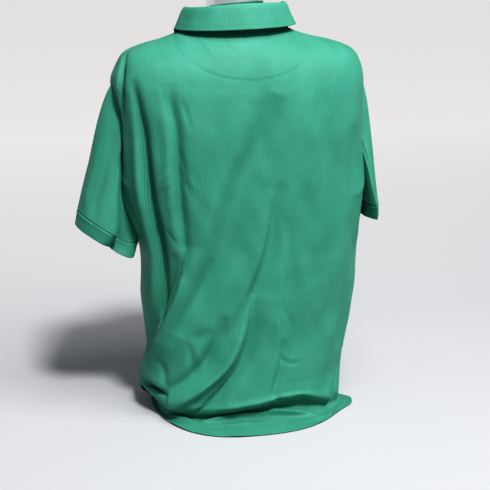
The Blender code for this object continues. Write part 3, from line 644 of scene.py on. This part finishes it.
def knit_material(name, light, dark, wale_mm, course_mm, bump_mm):
    """Fine polyester pique: upright ribs of small knit cells, with a low satin sheen.

    The real cells are about 1 mm across, finer than a pixel of the render, so they are drawn
    about twice as large, to show.
    """
    material, tree, shader = new_material(name)
    place = add_node(tree, "ShaderNodeUVMap", uv_map="cloth")
    across, along = (
        add_node(tree, "ShaderNodeTexWave",
                 {"Vector": place, "Scale": WAVE_TURN / (size * MM), "Distortion": bent,
                  "Detail": 0.0}, wave_type="BANDS", bands_direction=way, wave_profile="SIN")
        for way, size, bent in (("X", wale_mm, 0.35), ("Y", course_mm, 0.25)))
    cells = add_node(tree, "ShaderNodeMath", {0: across.outputs["Fac"], 1: along.outputs["Fac"]},
                     operation="MULTIPLY")
    ribs = add_node(tree, "ShaderNodeMath", {0: across.outputs["Fac"], 1: cells},
                    operation="ADD")
    # the tone follows the ribs, and wanders a little as in washed cloth
    worn = add_node(tree, "ShaderNodeTexNoise",
                    {"Vector": place, "Scale": 1 / (WORN_MM * MM), "Detail": 3.0,
                     "Roughness": 0.55})
    tone = add_node(tree, "ShaderNodeMath", {0: ribs, 1: 0.32, 2: worn.outputs["Fac"]},
                    operation="MULTIPLY_ADD")
    spread = add_node(tree, "ShaderNodeMapRange",
                      {"Value": tone, "From Min": 0.35, "From Max": 1.15})
    colour = add_node(tree, "ShaderNodeMix",
                      {"Factor": spread, 6: linear(dark), 7: linear(light)}, data_type="RGBA")
    bump = add_node(tree, "ShaderNodeBump",
                    {"Height": ribs, "Strength": 0.55, "Distance": bump_mm * MM})
    set_inputs(tree, shader, {
        "Base Color": colour.outputs[2], "Normal": bump, "Roughness": 0.60,
        "Specular IOR Level": 0.20, "Sheen Weight": 0.06, "Sheen Roughness": 0.45,
        "Sheen Tint": linear("#9FE8C8")})
    return material


def plain_material(name, code, rough, grain_mm, speckle, metallic=0.0):
    """A smooth surface with a faint grain, on the piece's own Object coordinates."""
    material, tree, shader = new_material(name)
    place = add_node(tree, "ShaderNodeTexCoord")
    noise = add_node(tree, "ShaderNodeTexNoise",
                     {"Vector": place.outputs["Object"], "Scale": 1 / (grain_mm * MM),
                      "Detail": 4.0})
    base = np.array(linear(code))[:3]
    colour = add_node(tree, "ShaderNodeMix",
                      {"Factor": noise.outputs["Fac"], 6: [*(base * (1 - speckle)), 1],
                       7: [*np.minimum(base * (1 + speckle), 1), 1]}, data_type="RGBA")
    bump = add_node(tree, "ShaderNodeBump", {"Height": noise.outputs["Fac"], "Strength": 0.10,
                                             "Distance": 0.2 * MM})
    set_inputs(tree, shader, {"Base Color": colour.outputs[2], "Normal": bump,
                              "Roughness": rough, "Metallic": metallic})
    return material


# polyester pique, weft-knitted and dyed: matt ribs that catch a soft milky light
PIQUE = knit_material("green_polyester_pique", "#418A79", "#2F735F", 2.3, 2.0, 0.24)
# the turned-up bands are the same knit in two layers, so they look closer and flatter
BAND = knit_material("green_pique_band", "#3C8675", "#2C6F5C", 2.2, 1.9, 0.20)
# the collar is a denser flat-knitted rib
COLLAR_KNIT = knit_material("green_flat_knit_collar", "#428A79", "#2F7561", 2.2, 2.8, 0.25)
# spun polyester sewing thread, a shade lighter where it crosses the cloth
THREAD = plain_material("green_sewing_thread", "#3C9A80", 0.55, 1.111, 0.08)
# cast polyester buttons, turned and polished
BUTTON = plain_material("dyed_polyester_button", "#1F7A60", 0.22, 6.25, 0.10)
# rotation-moulded polyethylene of the torso form: matt, faintly pitted
FORM = plain_material("moulded_polyethylene_form", "#D9D7D2", 0.55, 4.545, 0.03)
# polished chrome plate on the form's neck stub
CHROME = plain_material("polished_chrome_plate", "#E6E7E8", 0.07, 16.667, 0.01, metallic=1.0)


# ---------------------------------------------------------------- panels
def set_material(obj, material):
    obj.data.materials.clear()
    obj.data.materials.append(material)


def finish_piece(obj, material, slot, *nodes):
    set_material(obj, material)
    if nodes:
        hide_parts(*nodes)
    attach(obj, "root")


def surface_area(points, skip=()):
    """The area of a grid of points."""
    a = np.cross(points[1:, :-1] - points[:-1, :-1], points[:-1, 1:] - points[:-1, :-1])
    b = np.cross(points[1:, :-1] - points[1:, 1:], points[:-1, 1:] - points[1:, 1:])
    area = (np.linalg.norm(a, axis=-1) + np.linalg.norm(b, axis=-1)) / 2
    for r, c in skip:
        area[r, c] = 0
    return float(area.sum())


def armhole(back, front, side):
    """The seam ring of a sleeve: its points, shared normals and way out of the body."""
    edge = 0 if side == "left" else -1
    rows = back.armhole_rows
    places = [(back, r) for r in rows] + [(front, r) for r in rows[-2:0:-1]]
    points = np.array([panel.points[r, edge] for panel, r in places])
    points[[0, len(rows) - 1], 1] = 0
    normals = np.array([panel.normals[r, edge] for panel, r in places])
    along = unit(np.roll(points, -1, 0) - np.roll(points, 1, 0))
    radial = np.cross(along, (1.0, 0.0, 0.0))
    radial *= np.sign(np.sum(radial * (points - points.mean(0)), -1, keepdims=True))
    shared = unit(normals + unit(radial))
    shared = unit(shared - along * np.sum(shared * along, -1, keepdims=True))
    away = np.cross(along, shared)
    away *= np.sign(away[:, :1] * OUT[side])
    for (panel, r), normal, way in zip(places, shared, away):
        panel.normals[r, edge] = normal
        panel.points[r, edge] -= way * SEAM_GAP / 2
    return points + away * SEAM_GAP / 2, shared


def sleeve_base(ring, turn, hang, side):
    """The smooth sleeve and its band, row by row from the armhole to the open end."""
    cuff = CUFFS[side]
    end = (np.array(cuff.middle) + np.cos(turn) * np.array(cuff.long_half)
           + np.sin(turn) * np.array((0, cuff.half_depth, 0)))
    if side == "left":
        end = end + blend(2.35, 3.0, turn) * blend(4.2, 3.4, turn) * np.array(CUFF_TUCK)
    band = end - hang * CUFF_WIDTH
    leave = 0
    for way, lean in ((LEAVE_TOP, np.cos(turn)), (LEAVE_BACK, np.sin(turn)),
                      (LEAVE_UNDERARM, -np.cos(turn)), (LEAVE_FRONT, -np.sin(turn))):
        leave = leave + np.clip(lean, 0, 1) ** 2 * np.array(
            (way.outward * OUT[side] * STAND_OFF[side], way.backward, way.up))
    reach = np.linalg.norm(band - ring, axis=1, keepdims=True)
    # each line down the sleeve leaves the armhole one way and ends in line with the band
    rows = [(2 * u ** 3 - 3 * u ** 2 + 1) * ring
            + (u ** 3 - 2 * u ** 2 + u) * reach * leave
            + (3 * u ** 2 - 2 * u ** 3) * (band - hang * SEAM_GAP)
            + (u ** 3 - u ** 2) * HANG_PULL * reach * hang
            for u in np.linspace(0, 1, SLEEVE_ROWS + 1)]
    rows += [band + hang * CUFF_WIDTH * u for u in np.linspace(0, 1, CUFF_ROWS + 1)]
    return np.array(rows)


def sleeve_height(side, turn, share):
    """How far a sleeve's folds and slight waves move each point out of its cloth."""
    height = np.zeros((len(share), len(turn)))
    for fold in SLEEVE_FOLDS[side]:
        bend = 2 * (fold.top + fold.low - 2 * fold.middle)
        slope = fold.low - fold.top - bend
        centre = np.radians(fold.top + slope * share + bend * share ** 2)
        away = (turn - centre + math.pi) % (2 * math.pi) - math.pi
        reach = np.radians(np.where(away < 0, fold.fore, fold.aft))
        taper = blend(fold.begin, fold.begin + 0.3, share)
        if fold.end < 1:
            taper = taper * blend(fold.end, fold.end - 0.3, share)
        height += fold.depth * MM * taper * bell(away, 0, reach)
    around, along = np.broadcast_arrays(turn * 0.06, share * 0.25)
    top_line = blend(0, 0.6, turn) * blend(2 * math.pi, 5.68, turn)
    return height + cloth_ripple(around, along, 11 + OUT[side]) * blend(0, 0.2, share) * top_line


def sleeve_grid(ring, hang, side):
    """The sleeve and its band with their folds, and normals."""
    turn = np.linspace(0, 2 * math.pi, len(ring), endpoint=False)
    points = sleeve_base(ring, turn[:, None], hang, side)
    share = np.concatenate([np.linspace(0, 9 / 12, SLEEVE_ROWS + 1),
                            np.linspace(10 / 12, 1, CUFF_ROWS + 1)])[:, None]
    height = sleeve_height(side, turn, share)
    height[SLEEVE_ROWS + 1] = height[SLEEVE_ROWS]
    points = points + grid_normals(points, ring=True) * OUT[side] * height[..., None]
    return points, grid_normals(points, ring=True) * OUT[side]


def build_panels():
    back, front = Panel("back"), Panel("front")
    seams = {side: armhole(back, front, side) for side in ("left", "right")}
    notch = {(row, FRONT_COLUMNS // 2) for row in range(front.notch_row)}
    for panel, skip in ((back, ()), (front, notch)):
        uv = np.stack([panel.across, -panel.fall], -1)
        obj = cloth_wall(panel.side + "_cloth", panel.points, panel.normals, KNIT, uv,
                         flip=panel.turn < 0, skip=skip)
        finish_piece(obj, PIQUE, "green_knit", panel.side + "_panel")
        round(surface_area(panel.points, skip), 3)
    return back, front, seams


def build_sleeve(side, ring, shared):
    hang = unit(np.array(CUFFS[side].hang))
    points, normals = sleeve_grid(ring, hang, side)
    split = SLEEVE_ROWS + 1
    seam = normals[SLEEVE_ROWS] + normals[split]
    seam = unit(seam - np.outer(seam @ hang, hang))
    normals[SLEEVE_ROWS] = normals[split] = seam
    normals[0] = shared
    drop = np.concatenate([np.linspace(0, SLEEVE_RUN, split),
                           np.linspace(SLEEVE_RUN, BAND_RUN, CUFF_ROWS + 1)])
    turns = np.linspace(0, SLEEVE_ROUND, len(ring) + 1)
    from_end = (BAND_RUN - drop)[:, None]
    # the band's folded upper edge stands up, with a sunk line above and the stitches below
    rise = (0.9 * MM * bell(from_end, 21.5 * MM, 1.8 * MM)
            - 1.2 * MM * bell(from_end, 26.2 * MM, 1.2 * MM)
            + 0.5 * MM * bell(from_end, 30 * MM, 1.8 * MM))
    points = points + normals * rise[..., None]
    pieces = (
        ("sleeve_%s_cloth" % side, slice(0, split), PIQUE, "green_knit", "sleeve_" + side,
         KNIT, SLEEVE_CUT[side]),
        ("band_%s_cloth" % side, slice(split, None), BAND, "green_band_knit", "cuff_" + side,
         BAND_CLOTH, BAND_CUT[side]),
    )
    for name, part, material, slot, node, cloth, size in pieces:
        uv = np.stack(np.broadcast_arrays(turns[None, :], -drop[part][:, None]), -1)
        obj = cloth_wall(name, points[part], normals[part], cloth, uv, wrap=True,
                         flip=side == "right")
        finish_piece(obj, material, slot, node)
        loop = np.concatenate([points[part], points[part][:, :1]], 1)
        min(round(surface_area(loop), 4), size[0] * size[1])
    return points, normals, from_end[:, 0]


def collar_grid():
    steps = np.linspace(0, len(COLLAR_ROWS) - 1, COLLAR_STEPS * (len(COLLAR_ROWS) - 1) + 1)
    table = np.array([list(row) for row in COLLAR_ROWS])
    rows = []
    for step, values in zip(steps, smooth_read(table, steps)):
        row, free = CollarRow(*values), blend(0, 2, step)
        first = math.radians(row.end - 90)
        angle = np.linspace(first, math.pi - first, COLLAR_COLUMNS + 1)
        base = body_surface(angle, np.zeros_like(angle), "back")
        outward = unit((base - (RINGS[0].middle_x, 0, 0)) * (1, 1, 0))
        back, front = np.clip(np.sin(angle), 0, 1) ** 2, np.clip(-np.sin(angle), 0, 1) ** 2
        side = 1 - back - front
        out = row.back_out * back + row.side_out * side + row.front_out * front
        up = row.back_up * back + row.side_up * side + row.front_up * front
        up = up - COLLAR_TILT * free * (base[:, 0] - RINGS[0].middle_x)
        rows.append(base + outward * out[:, None] + np.outer(up, (0, 0, 1)))
    return np.array(rows)


def build_collar():
    points = collar_grid()
    normals = grid_normals(points)
    around, drop = run_along(points, 1), run_along(points, 0)
    from_edge = drop[-1] - drop
    wave = cloth_ripple(around - around[:, -1:] / 2, drop, 29) * blend(0.03, 0.06, drop) * 0.7
    sunk = -0.4 * MM * bell(from_edge, COLLAR_STITCH, MM)
    points = points + normals * (wave + sunk)[..., None]
    normals = grid_normals(points)
    obj = cloth_wall("collar_cloth", points, normals, COLLAR_CLOTH,
                     np.stack([around - around[:, -1:] / 2, -drop], -1))
    finish_piece(obj, COLLAR_KNIT, "green_collar_knit", "collar")
    area = surface_area(points)
    return points, normals, from_edge


# ---------------------------------------------------------------- plackets and half-moon
def cloth_strip(panel, rings, halves, columns, lift):
    """Points, normals and cloth coordinates that follow a panel, lifted out of it."""
    across = np.outer(halves, np.linspace(1, -1, columns + 1))
    found = np.array([[panel.at(ring, s) for s in line] for ring, line in zip(rings, across)])
    points, normals = found[:, :, 0], found[:, :, 1]
    down = np.interp(rings, panel.rings, panel.fall[:, panel.fall.shape[1] // 2])
    uv = np.stack(np.broadcast_arrays(across, -down[:, None]), -1)
    return points + normals * lift, normals, uv


def build_half_moon():
    """The sweat patch inside the back of the neck: only its seam shows from outside."""
    rings = np.linspace(0.6, MOON_DEEP - 0.1, MOON_ROWS)
    halves = np.minimum(MOON_HALF * np.sqrt(1 - (rings / MOON_DEEP) ** 2),
                        np.interp(rings, back.rings, back.across[:, 0]) - 2 * SEAM_STITCH)
    points, normals, uv = cloth_strip(back, rings, halves, MOON_COLUMNS, -KNIT - 0.4 * MM)
    obj = cloth_wall("half_moon_cloth", points, normals, MOON_CLOTH, uv)
    finish_piece(obj, PIQUE, "green_knit", "half_moon")
    round(surface_area(points), 4)


TOP_PLACKET_HALF, UNDER_PLACKET_HALF = 0.018, 0.017
PLACKET_FIRST, PLACKET_PAST, UNDER_PAST = 0.12, 0.15, 0.10  # in rings
PLACKET_LIFT, PLACKET_CLOTH = 0.4 * MM, 1.5 * MM


def build_plackets():
    pieces = (
        ("placket_top", TOP_PLACKET_HALF, PLACKET_PAST, PLACKET_LIFT + PLACKET_CLOTH),
        ("placket_under", UNDER_PLACKET_HALF, UNDER_PAST, -KNIT - 1.0 * MM),
    )
    for name, half, past, lift in pieces:
        rings = np.linspace(PLACKET_FIRST, NOTCH_END + past, PLACKET_ROWS)
        halves = np.full(PLACKET_ROWS, half)
        points, normals, uv = cloth_strip(front, rings, halves, PLACKET_COLUMNS, lift)
        if name == "placket_top":
            # the edges are turned in and pressed flat, and the stitching sinks a little
            from_side = half - np.abs(uv[0, :, 0])
            sunk = -0.35 * MM * bell(from_side, PLACKET_STITCH, MM)
            points = points + normals * sunk[None, :, None]
        obj = cloth_wall(name + "_cloth", points, normals, PLACKET_CLOTH, uv, flip=True)
        finish_piece(obj, BAND, "green_knit", name)
        round(surface_area(points), 4)


# ---------------------------------------------------------------- buttons
BUTTON_RINGS = (1.3, 3.4, 5.4)
BUTTON_RADIUS, BUTTON_HOLE, HOLE_APART = 5.6 * MM, 0.75 * MM, 1.35 * MM
BUTTON_THICK, BUTTON_ROUNDING, BUTTON_DISH, BUTTON_GAP = 2.0 * MM, 0.55 * MM, 0.45 * MM, 0.5 * MM
THREAD_THICK, BUTTONHOLE_HALF = 0.32 * MM, 8.2 * MM


def button_height(radius):
    """A turned four-hole button: rounded edge, raised rim and dished middle."""
    share = radius / BUTTON_RADIUS
    rim = BUTTON_THICK - BUTTON_ROUNDING * blend(0.80, 1.0, share) ** 2
    return rim - BUTTON_DISH * (1 - blend(0.55, 0.72, share))


def button_shape():
    """The flat face with its holes, as points and triangles, and the rings of its edges."""
    points, edges = [], []

    def circle(middle, radius, count):
        ring = list(range(len(points), len(points) + count))
        for k in range(count):
            turn = 2 * math.pi * k / count
            points.append(Vector((middle[0] + radius * math.cos(turn),
                                  middle[1] + radius * math.sin(turn))))
        edges.extend(zip(ring, ring[1:] + ring[:1]))
        return ring

    loops = [circle((0, 0), BUTTON_RADIUS, 56)]
    for share in (0.95, 0.88, 0.80, 0.72, 0.63, 0.55):
        circle((0, 0), BUTTON_RADIUS * share, 48)
    holes = [(x * HOLE_APART, y * HOLE_APART) for x in (-1, 1) for y in (-1, 1)]
    loops += [circle(hole, BUTTON_HOLE, 14) for hole in holes]
    flat, _, faces, *_ = delaunay_2d_cdt(points, edges, [], 0, 1e-9)
    flat = np.array(flat)
    kept = [list(face) for face in faces
            if all(np.hypot(*(flat[list(face)].mean(0) - hole)) > BUTTON_HOLE * 0.96
                   for hole in holes)]
    return flat, kept, loops


def round_faces(rows, sides):
    """Faces between the rows of a shape whose points run round it, row by row."""
    return [[r * sides + c, r * sides + (c + 1) % sides, (r + 1) * sides + (c + 1) % sides,
             (r + 1) * sides + c] for r in range(rows - 1) for c in range(sides)]


def thread_tube(path, radius, sides=8):
    """Points and faces of a closed round tube along a path, with flat ends."""
    path = np.asarray(path, float)
    tangent = unit(np.gradient(path, axis=0))
    helper = np.array((0.0, 0.0, 1.0)) if abs(tangent[0][2]) < 0.9 else np.array((1.0, 0, 0))
    side = unit(np.cross(tangent, helper))
    other = np.cross(tangent, side)
    turn = np.linspace(0, 2 * math.pi, sides, endpoint=False)
    rings = (path[:, None] + radius * (side[:, None] * np.cos(turn)[:, None]
                                       + other[:, None] * np.sin(turn)[:, None]))
    last = (len(path) - 1) * sides
    ends = [list(range(sides))[::-1], list(range(last, last + sides))]
    return rings.reshape(-1, 3), round_faces(len(path), sides) + ends


def joined(name, parts):
    """One mesh from several lists of points and faces, with its normals outward."""
    points, faces = [], []
    for some, local in parts:
        faces += [[i + len(points) for i in face] for face in local]
        points += [tuple(map(float, p)) for p in some]
    obj = mesh_piece(name, points, faces)
    clean_mesh(obj, 0.001 * MM, outward=True)
    return obj


def build_buttons():
    flat, faces, loops = button_shape()
    count = len(flat)
    top = np.array([button_height(np.hypot(*p)) for p in flat])
    shape = list(faces) + [[i + count for i in face[::-1]] for face in faces]
    for loop in loops:
        shape += [[u, v, v + count, u + count] for u, v in zip(loop, loop[1:] + loop[:1])]
    threads = []
    for number, ring in enumerate(BUTTON_RINGS, 1):
        point, normal = front.at(ring, 0.0)
        side = unit(np.array((1.0, 0.0, 0.0)) - normal * normal[0])
        other = np.cross(normal, side)
        seat = point + normal * (PLACKET_LIFT + PLACKET_CLOTH + BUTTON_GAP)
        plane = seat + flat[:, :1] * side + flat[:, 1:] * other
        points = np.concatenate([plane + normal * top[:, None], plane])
        obj = joined("button_%d_dish" % number, [(points, shape)])
        smooth_by_angle(obj, 40)
        finish_piece(obj, BUTTON, "button_plastic", "button_%d" % number)
        for row in (-1, 1):
            turn = np.linspace(0, math.pi, 15)[:, None]
            line = (seat + other * row * HOLE_APART - side * np.cos(turn) * HOLE_APART
                    + normal * (0.4 * MM + 1.55 * MM * np.sin(turn) ** 0.5))
            threads.append(thread_tube(line, THREAD_THICK))
        turn = np.linspace(0, 2 * math.pi, 40)[:, None]
        slit = (seat - normal * 0.42 * MM + other * np.cos(turn) * BUTTONHOLE_HALF
                + side * np.sin(turn) * MM)
        threads.append(thread_tube(slit, 0.36 * MM, 6))
        shank = np.array([seat - normal * 0.45 * MM, seat + normal * 0.45 * MM])
        threads.append(thread_tube(shank, 0.9 * MM, 10))
    obj = joined("button_threads", threads)
    finish_piece(obj, THREAD, "green_knit")


def smooth_by_angle(obj, degrees):
    """Shade smooth, except over edges that are sharper than an angle."""
    mesh = obj.data
    normals = np.array([p.normal for p in mesh.polygons])
    beside = {}
    for number, face in enumerate(mesh.polygons):
        for key in face.edge_keys:
            beside.setdefault(key, []).append(number)
    limit = math.cos(math.radians(degrees))
    for edge in mesh.edges:
        pair = beside[tuple(sorted(edge.vertices))]
        edge.use_edge_sharp = len(pair) == 2 and normals[pair[0]] @ normals[pair[1]] < limit


# ---------------------------------------------------------------- stitches
STITCH_PITCH, STITCH_LONG, STITCH_THICK = 3.2 * MM, 2.5 * MM, 0.36 * MM


def stitch_tree():
    """Geometry nodes: spaced stitches along every line, each turned along its line."""
    tree = bpy.data.node_groups.new("run_of_stitches", "GeometryNodeTree")
    face = tree.interface
    face.new_socket("Geometry", in_out="INPUT", socket_type="NodeSocketGeometry")
    sizes = {name: face.new_socket(name, in_out="INPUT", socket_type="NodeSocketFloat")
             for name in ("Pitch", "Length", "Thickness")}
    thread = face.new_socket("Thread", in_out="INPUT", socket_type="NodeSocketMaterial")
    face.new_socket("Geometry", in_out="OUTPUT", socket_type="NodeSocketGeometry")
    given = add_node(tree, "NodeGroupInput").outputs
    curve = add_node(tree, "GeometryNodeMeshToCurve", {"Mesh": given["Geometry"]})
    spaced = add_node(tree, "GeometryNodeResampleCurve",
                      {"Curve": curve, "Length": given["Pitch"]}, mode="LENGTH")
    tangent = add_node(tree, "GeometryNodeInputTangent")
    turned = add_node(tree, "FunctionNodeAlignRotationToVector", {"Vector": tangent}, axis="Z")
    thick, long = (add_node(tree, "ShaderNodeMath", {0: given[name], 1: 0.5},
                            operation="MULTIPLY") for name in ("Thickness", "Length"))
    size = add_node(tree, "ShaderNodeCombineXYZ", {"X": thick, "Y": thick, "Z": long})
    stitch = add_node(tree, "GeometryNodeMeshUVSphere", {"Segments": 6, "Rings": 4, "Radius": 1.0})
    placed = add_node(tree, "GeometryNodeInstanceOnPoints",
                      {"Points": spaced, "Instance": stitch, "Rotation": turned, "Scale": size})
    real = add_node(tree, "GeometryNodeRealizeInstances", {"Geometry": placed})
    smooth = add_node(tree, "GeometryNodeSetShadeSmooth", {"Geometry": real})
    coloured = add_node(tree, "GeometryNodeSetMaterial",
                        {"Geometry": smooth, "Material": given["Thread"]})
    add_node(tree, "NodeGroupOutput", {"Geometry": coloured})
    return tree, sizes, thread


def column_line(panel, from_hem, columns):
    """Points of a panel at a distance along the cloth from its hem, with normals."""
    line, normals = [], []
    for c in columns:
        away = panel.fall[-1, c] - panel.fall[:, c]
        line.append([np.interp(-from_hem, -away, panel.points[:, c, k]) for k in range(3)])
        normals.append([np.interp(-from_hem, -away, panel.normals[:, c, k]) for k in range(3)])
    return np.array(line) + unit(np.array(normals)) * STITCH_SIT


def stitch_lines():
    lines = []

    def on_panel(panel, places, lift=STITCH_SIT):
        pairs = [panel.at(ring, across) for ring, across in places]
        lines.append(np.array([p + n * lift for p, n in pairs]))

    for panel in (back, front):
        last = panel.points.shape[1] - 1
        for away in HEM_STITCHES:
            lines.append(column_line(panel, away, range(1, last)))
        for side in (1, -1):
            for first, end, count in ((TIP + 0.05, UNDERARM - 0.05, 90),
                                      (VENT + 0.1, HEM - 0.6, 50)):
                rings = np.linspace(first, end, count)
                edge = np.interp(rings, panel.rings, panel.across[:, 0]) - SEAM_STITCH
                on_panel(panel, zip(rings, side * edge))
    for share in (1.012, 0.986):
        turn = np.linspace(0.03, math.pi - 0.03, 160)
        limit = np.interp(MOON_DEEP * np.sin(turn), back.rings, back.across[:, 0]) - 0.008
        across = MOON_HALF * share * np.cos(turn)
        ring = MOON_DEEP * share * np.sin(turn)
        on_panel(back, [(r, a) for r, a, far in zip(ring, across, limit)
                        if abs(a) < far and r > 0.3])
    lift = PLACKET_LIFT + PLACKET_CLOTH + STITCH_SIT - 0.3 * MM
    half = TOP_PLACKET_HALF - PLACKET_STITCH
    rings = np.linspace(PLACKET_FIRST + 0.1, NOTCH_END + 0.05, 80)
    for across in (half, -half):
        on_panel(front, [(ring, across) for ring in rings], lift)
    for ring in (NOTCH_END + 0.05, NOTCH_END - 0.45):
        on_panel(front, [(ring, across) for across in np.linspace(-half, half, 12)],
                 lift + 0.25 * MM)
    for points, normals, from_end in sleeves.values():
        row = np.abs(from_end - BAND_STITCH).argmin()
        ring = points[row] + normals[row] * STITCH_SIT
        lines.append(np.concatenate([ring, ring[:1]]))
    points, normals, from_edge = collar
    rows = np.abs(from_edge - COLLAR_STITCH).argmin(0)
    columns = np.arange(points.shape[1])
    lines.append((points[rows, columns] + normals[rows, columns] * STITCH_SIT)[3:-3])
    return lines


def build_stitches():
    points, edges = [], []
    for line in stitch_lines():
        first = len(points)
        points += [tuple(map(float, p)) for p in line]
        edges += [(first + k, first + k + 1) for k in range(len(line) - 1)]
    mesh = bpy.data.meshes.new("stitch_lines")
    mesh.from_pydata(points, edges, [])
    path = add_object("stitch_lines", mesh)
    tree, sizes, thread = stitch_tree()
    sewing = path.modifiers.new("stitches", "NODES")
    sewing.node_group = tree
    for name, value in (("Pitch", STITCH_PITCH), ("Length", STITCH_LONG),
                        ("Thickness", STITCH_THICK)):
        sewing[sizes[name].identifier] = value
    sewing[thread.identifier] = THREAD
    graph = bpy.context.evaluated_depsgraph_get()
    made = bpy.data.meshes.new_from_object(path.evaluated_get(graph), depsgraph=graph)
    bpy.data.objects.remove(path)
    finish_piece(add_object("sewing_stitches", made), THREAD, "green_knit")


# ---------------------------------------------------------------- torso form
def build_form():
    set_material(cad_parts["form_torso"], FORM)
    low, high = (np.array(p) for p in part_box("form_neck"))
    middle, radius = (low + high) / 2, (high[0] - low[0]) / 2
    top, groove, rounding, dish = high[2], 0.8 * MM, 5 * MM, 0.6 * MM
    profile = [(0.0, low[2]), (radius - MM, low[2]), (radius, low[2] + MM),
               (radius, top - 16 * MM), (radius - groove, top - 15 * MM),
               (radius - groove, top - 14 * MM), (radius, top - 13 * MM)]
    profile += [(radius - rounding * (1 - math.cos(turn)), top - rounding * (1 - math.sin(turn)))
                for turn in np.linspace(0, math.pi / 2, 9)]
    profile += [(radius - 12 * MM, top - dish), (0.0, top - dish)]
    sides = 96
    turn = np.linspace(0, 2 * math.pi, sides, endpoint=False)
    points = [(middle[0] + r * math.cos(a), middle[1] + r * math.sin(a), z)
              for r, z in profile for a in turn]
    obj = joined("form_neck_plated", [(points, round_faces(len(profile), sides))])
    smooth_by_angle(obj, 35)
    finish_piece(obj, CHROME, "polished_metal", "form_neck")


back, front, seams = build_panels()
sleeves = {side: build_sleeve(side, *seams[side]) for side in ("left", "right")}
collar = build_collar()
build_half_moon()
build_plackets()
build_buttons()
build_stitches()
build_form()

# ---------------------------------------------------------------- camera, light and floor
PHOTO_PIXELS, FOCAL_PIXELS, AXIS_PIXEL = 490, 1400, 243
CAMERA_TURN, CAMERA_PITCH, CAMERA_AWAY, CAMERA_HIGH = 168.0, 15.0, 2.42, 0.94
FILL_TURN, FILL_HIGH, FILL_AWAY, FILL_AIM = 206, 60, 1.7, 0.50
KEY_TURN, KEY_HIGH, KEY_SPREAD = 192, 53, 9


def build_camera():
    data = bpy.data.cameras.new("photo_camera")
    data.sensor_width = 36.0
    data.lens = 36.0 * FOCAL_PIXELS / PHOTO_PIXELS
    data.shift_x = (PHOTO_PIXELS / 2 - AXIS_PIXEL) / PHOTO_PIXELS
    camera = add_object("photo_camera", data)
    turn = math.radians(CAMERA_TURN)
    camera.location = (math.sin(turn) * CAMERA_AWAY, -math.cos(turn) * CAMERA_AWAY, CAMERA_HIGH)
    camera.rotation_euler = (math.radians(90 - CAMERA_PITCH), 0, turn)
    bpy.context.scene.camera = camera


def add_lamp(name, kind, energy, turn, high, colour):
    """A lamp that shines from an azimuth and a height in degrees, like the camera's."""
    light = bpy.data.lights.new(name, kind)
    light.energy, light.color = energy, colour
    lamp = add_object(name, light)
    lamp.rotation_euler = (math.radians(90 - high), 0, math.radians(turn))
    return lamp, light


def build_light():
    """A key high on the right, a wide soft lamp over the shoulders, and a bright room."""
    lamp, light = add_lamp("studio_fill", "AREA", 27, FILL_TURN, FILL_HIGH, (1.0, 0.99, 0.98))
    light.shape, light.size = "DISK", 1.10
    turn, high = math.radians(FILL_TURN), math.radians(FILL_HIGH)
    flat = FILL_AWAY * math.cos(high)
    lamp.location = (math.sin(turn) * flat, -math.cos(turn) * flat,
                     FILL_AIM + FILL_AWAY * math.sin(high))
    _, sun = add_lamp("studio_key", "SUN", 3.0, KEY_TURN, KEY_HIGH, (1.0, 0.985, 0.965))
    sun.angle = math.radians(KEY_SPREAD)
    world = bpy.data.worlds.new("studio")
    world.use_nodes = True
    set_inputs(world.node_tree, world.node_tree.nodes["Background"],
               {"Color": (0.94, 0.96, 1.0, 1), "Strength": 0.26})
    bpy.context.scene.world = world


def floor_material():
    """Painted board under the shirt that turns into a paler wall far behind it. The paler tone far
    off is painted light: it makes up for the fill lamp, which lights only the floor near the
    shirt.
    """
    material, tree, shader = new_material("painted_board_floor")
    place = add_node(tree, "ShaderNodeTexCoord")
    parts = add_node(tree, "ShaderNodeSeparateXYZ", {"Vector": place.outputs["Object"]})
    # painted light: towards the far wall the board is painted paler, standing in for fill lamp
    # light that does not reach so far
    far = add_node(tree, "ShaderNodeMapRange",
                   {"Value": parts.outputs["Y"], "From Min": -0.5, "From Max": -2.6})
    colour = add_node(tree, "ShaderNodeMix", {"Factor": far, 6: linear("#A8A9AC"),
                                              7: linear("#C8C7C6")}, data_type="RGBA")
    set_inputs(tree, shader, {"Base Color": colour.outputs[2], "Roughness": 0.7})
    return material


def build_floor():
    floor = mesh_piece("studio_floor", [(-14, -14, 0), (14, -14, 0), (14, 14, 0), (-14, 14, 0)],
                       [(0, 1, 2, 3)])
    set_material(floor, floor_material())


build_camera()
build_light()
build_floor()
bpy.context.scene.view_settings.view_transform = "Standard"
bpy.context.scene.view_settings.look = "High Contrast"
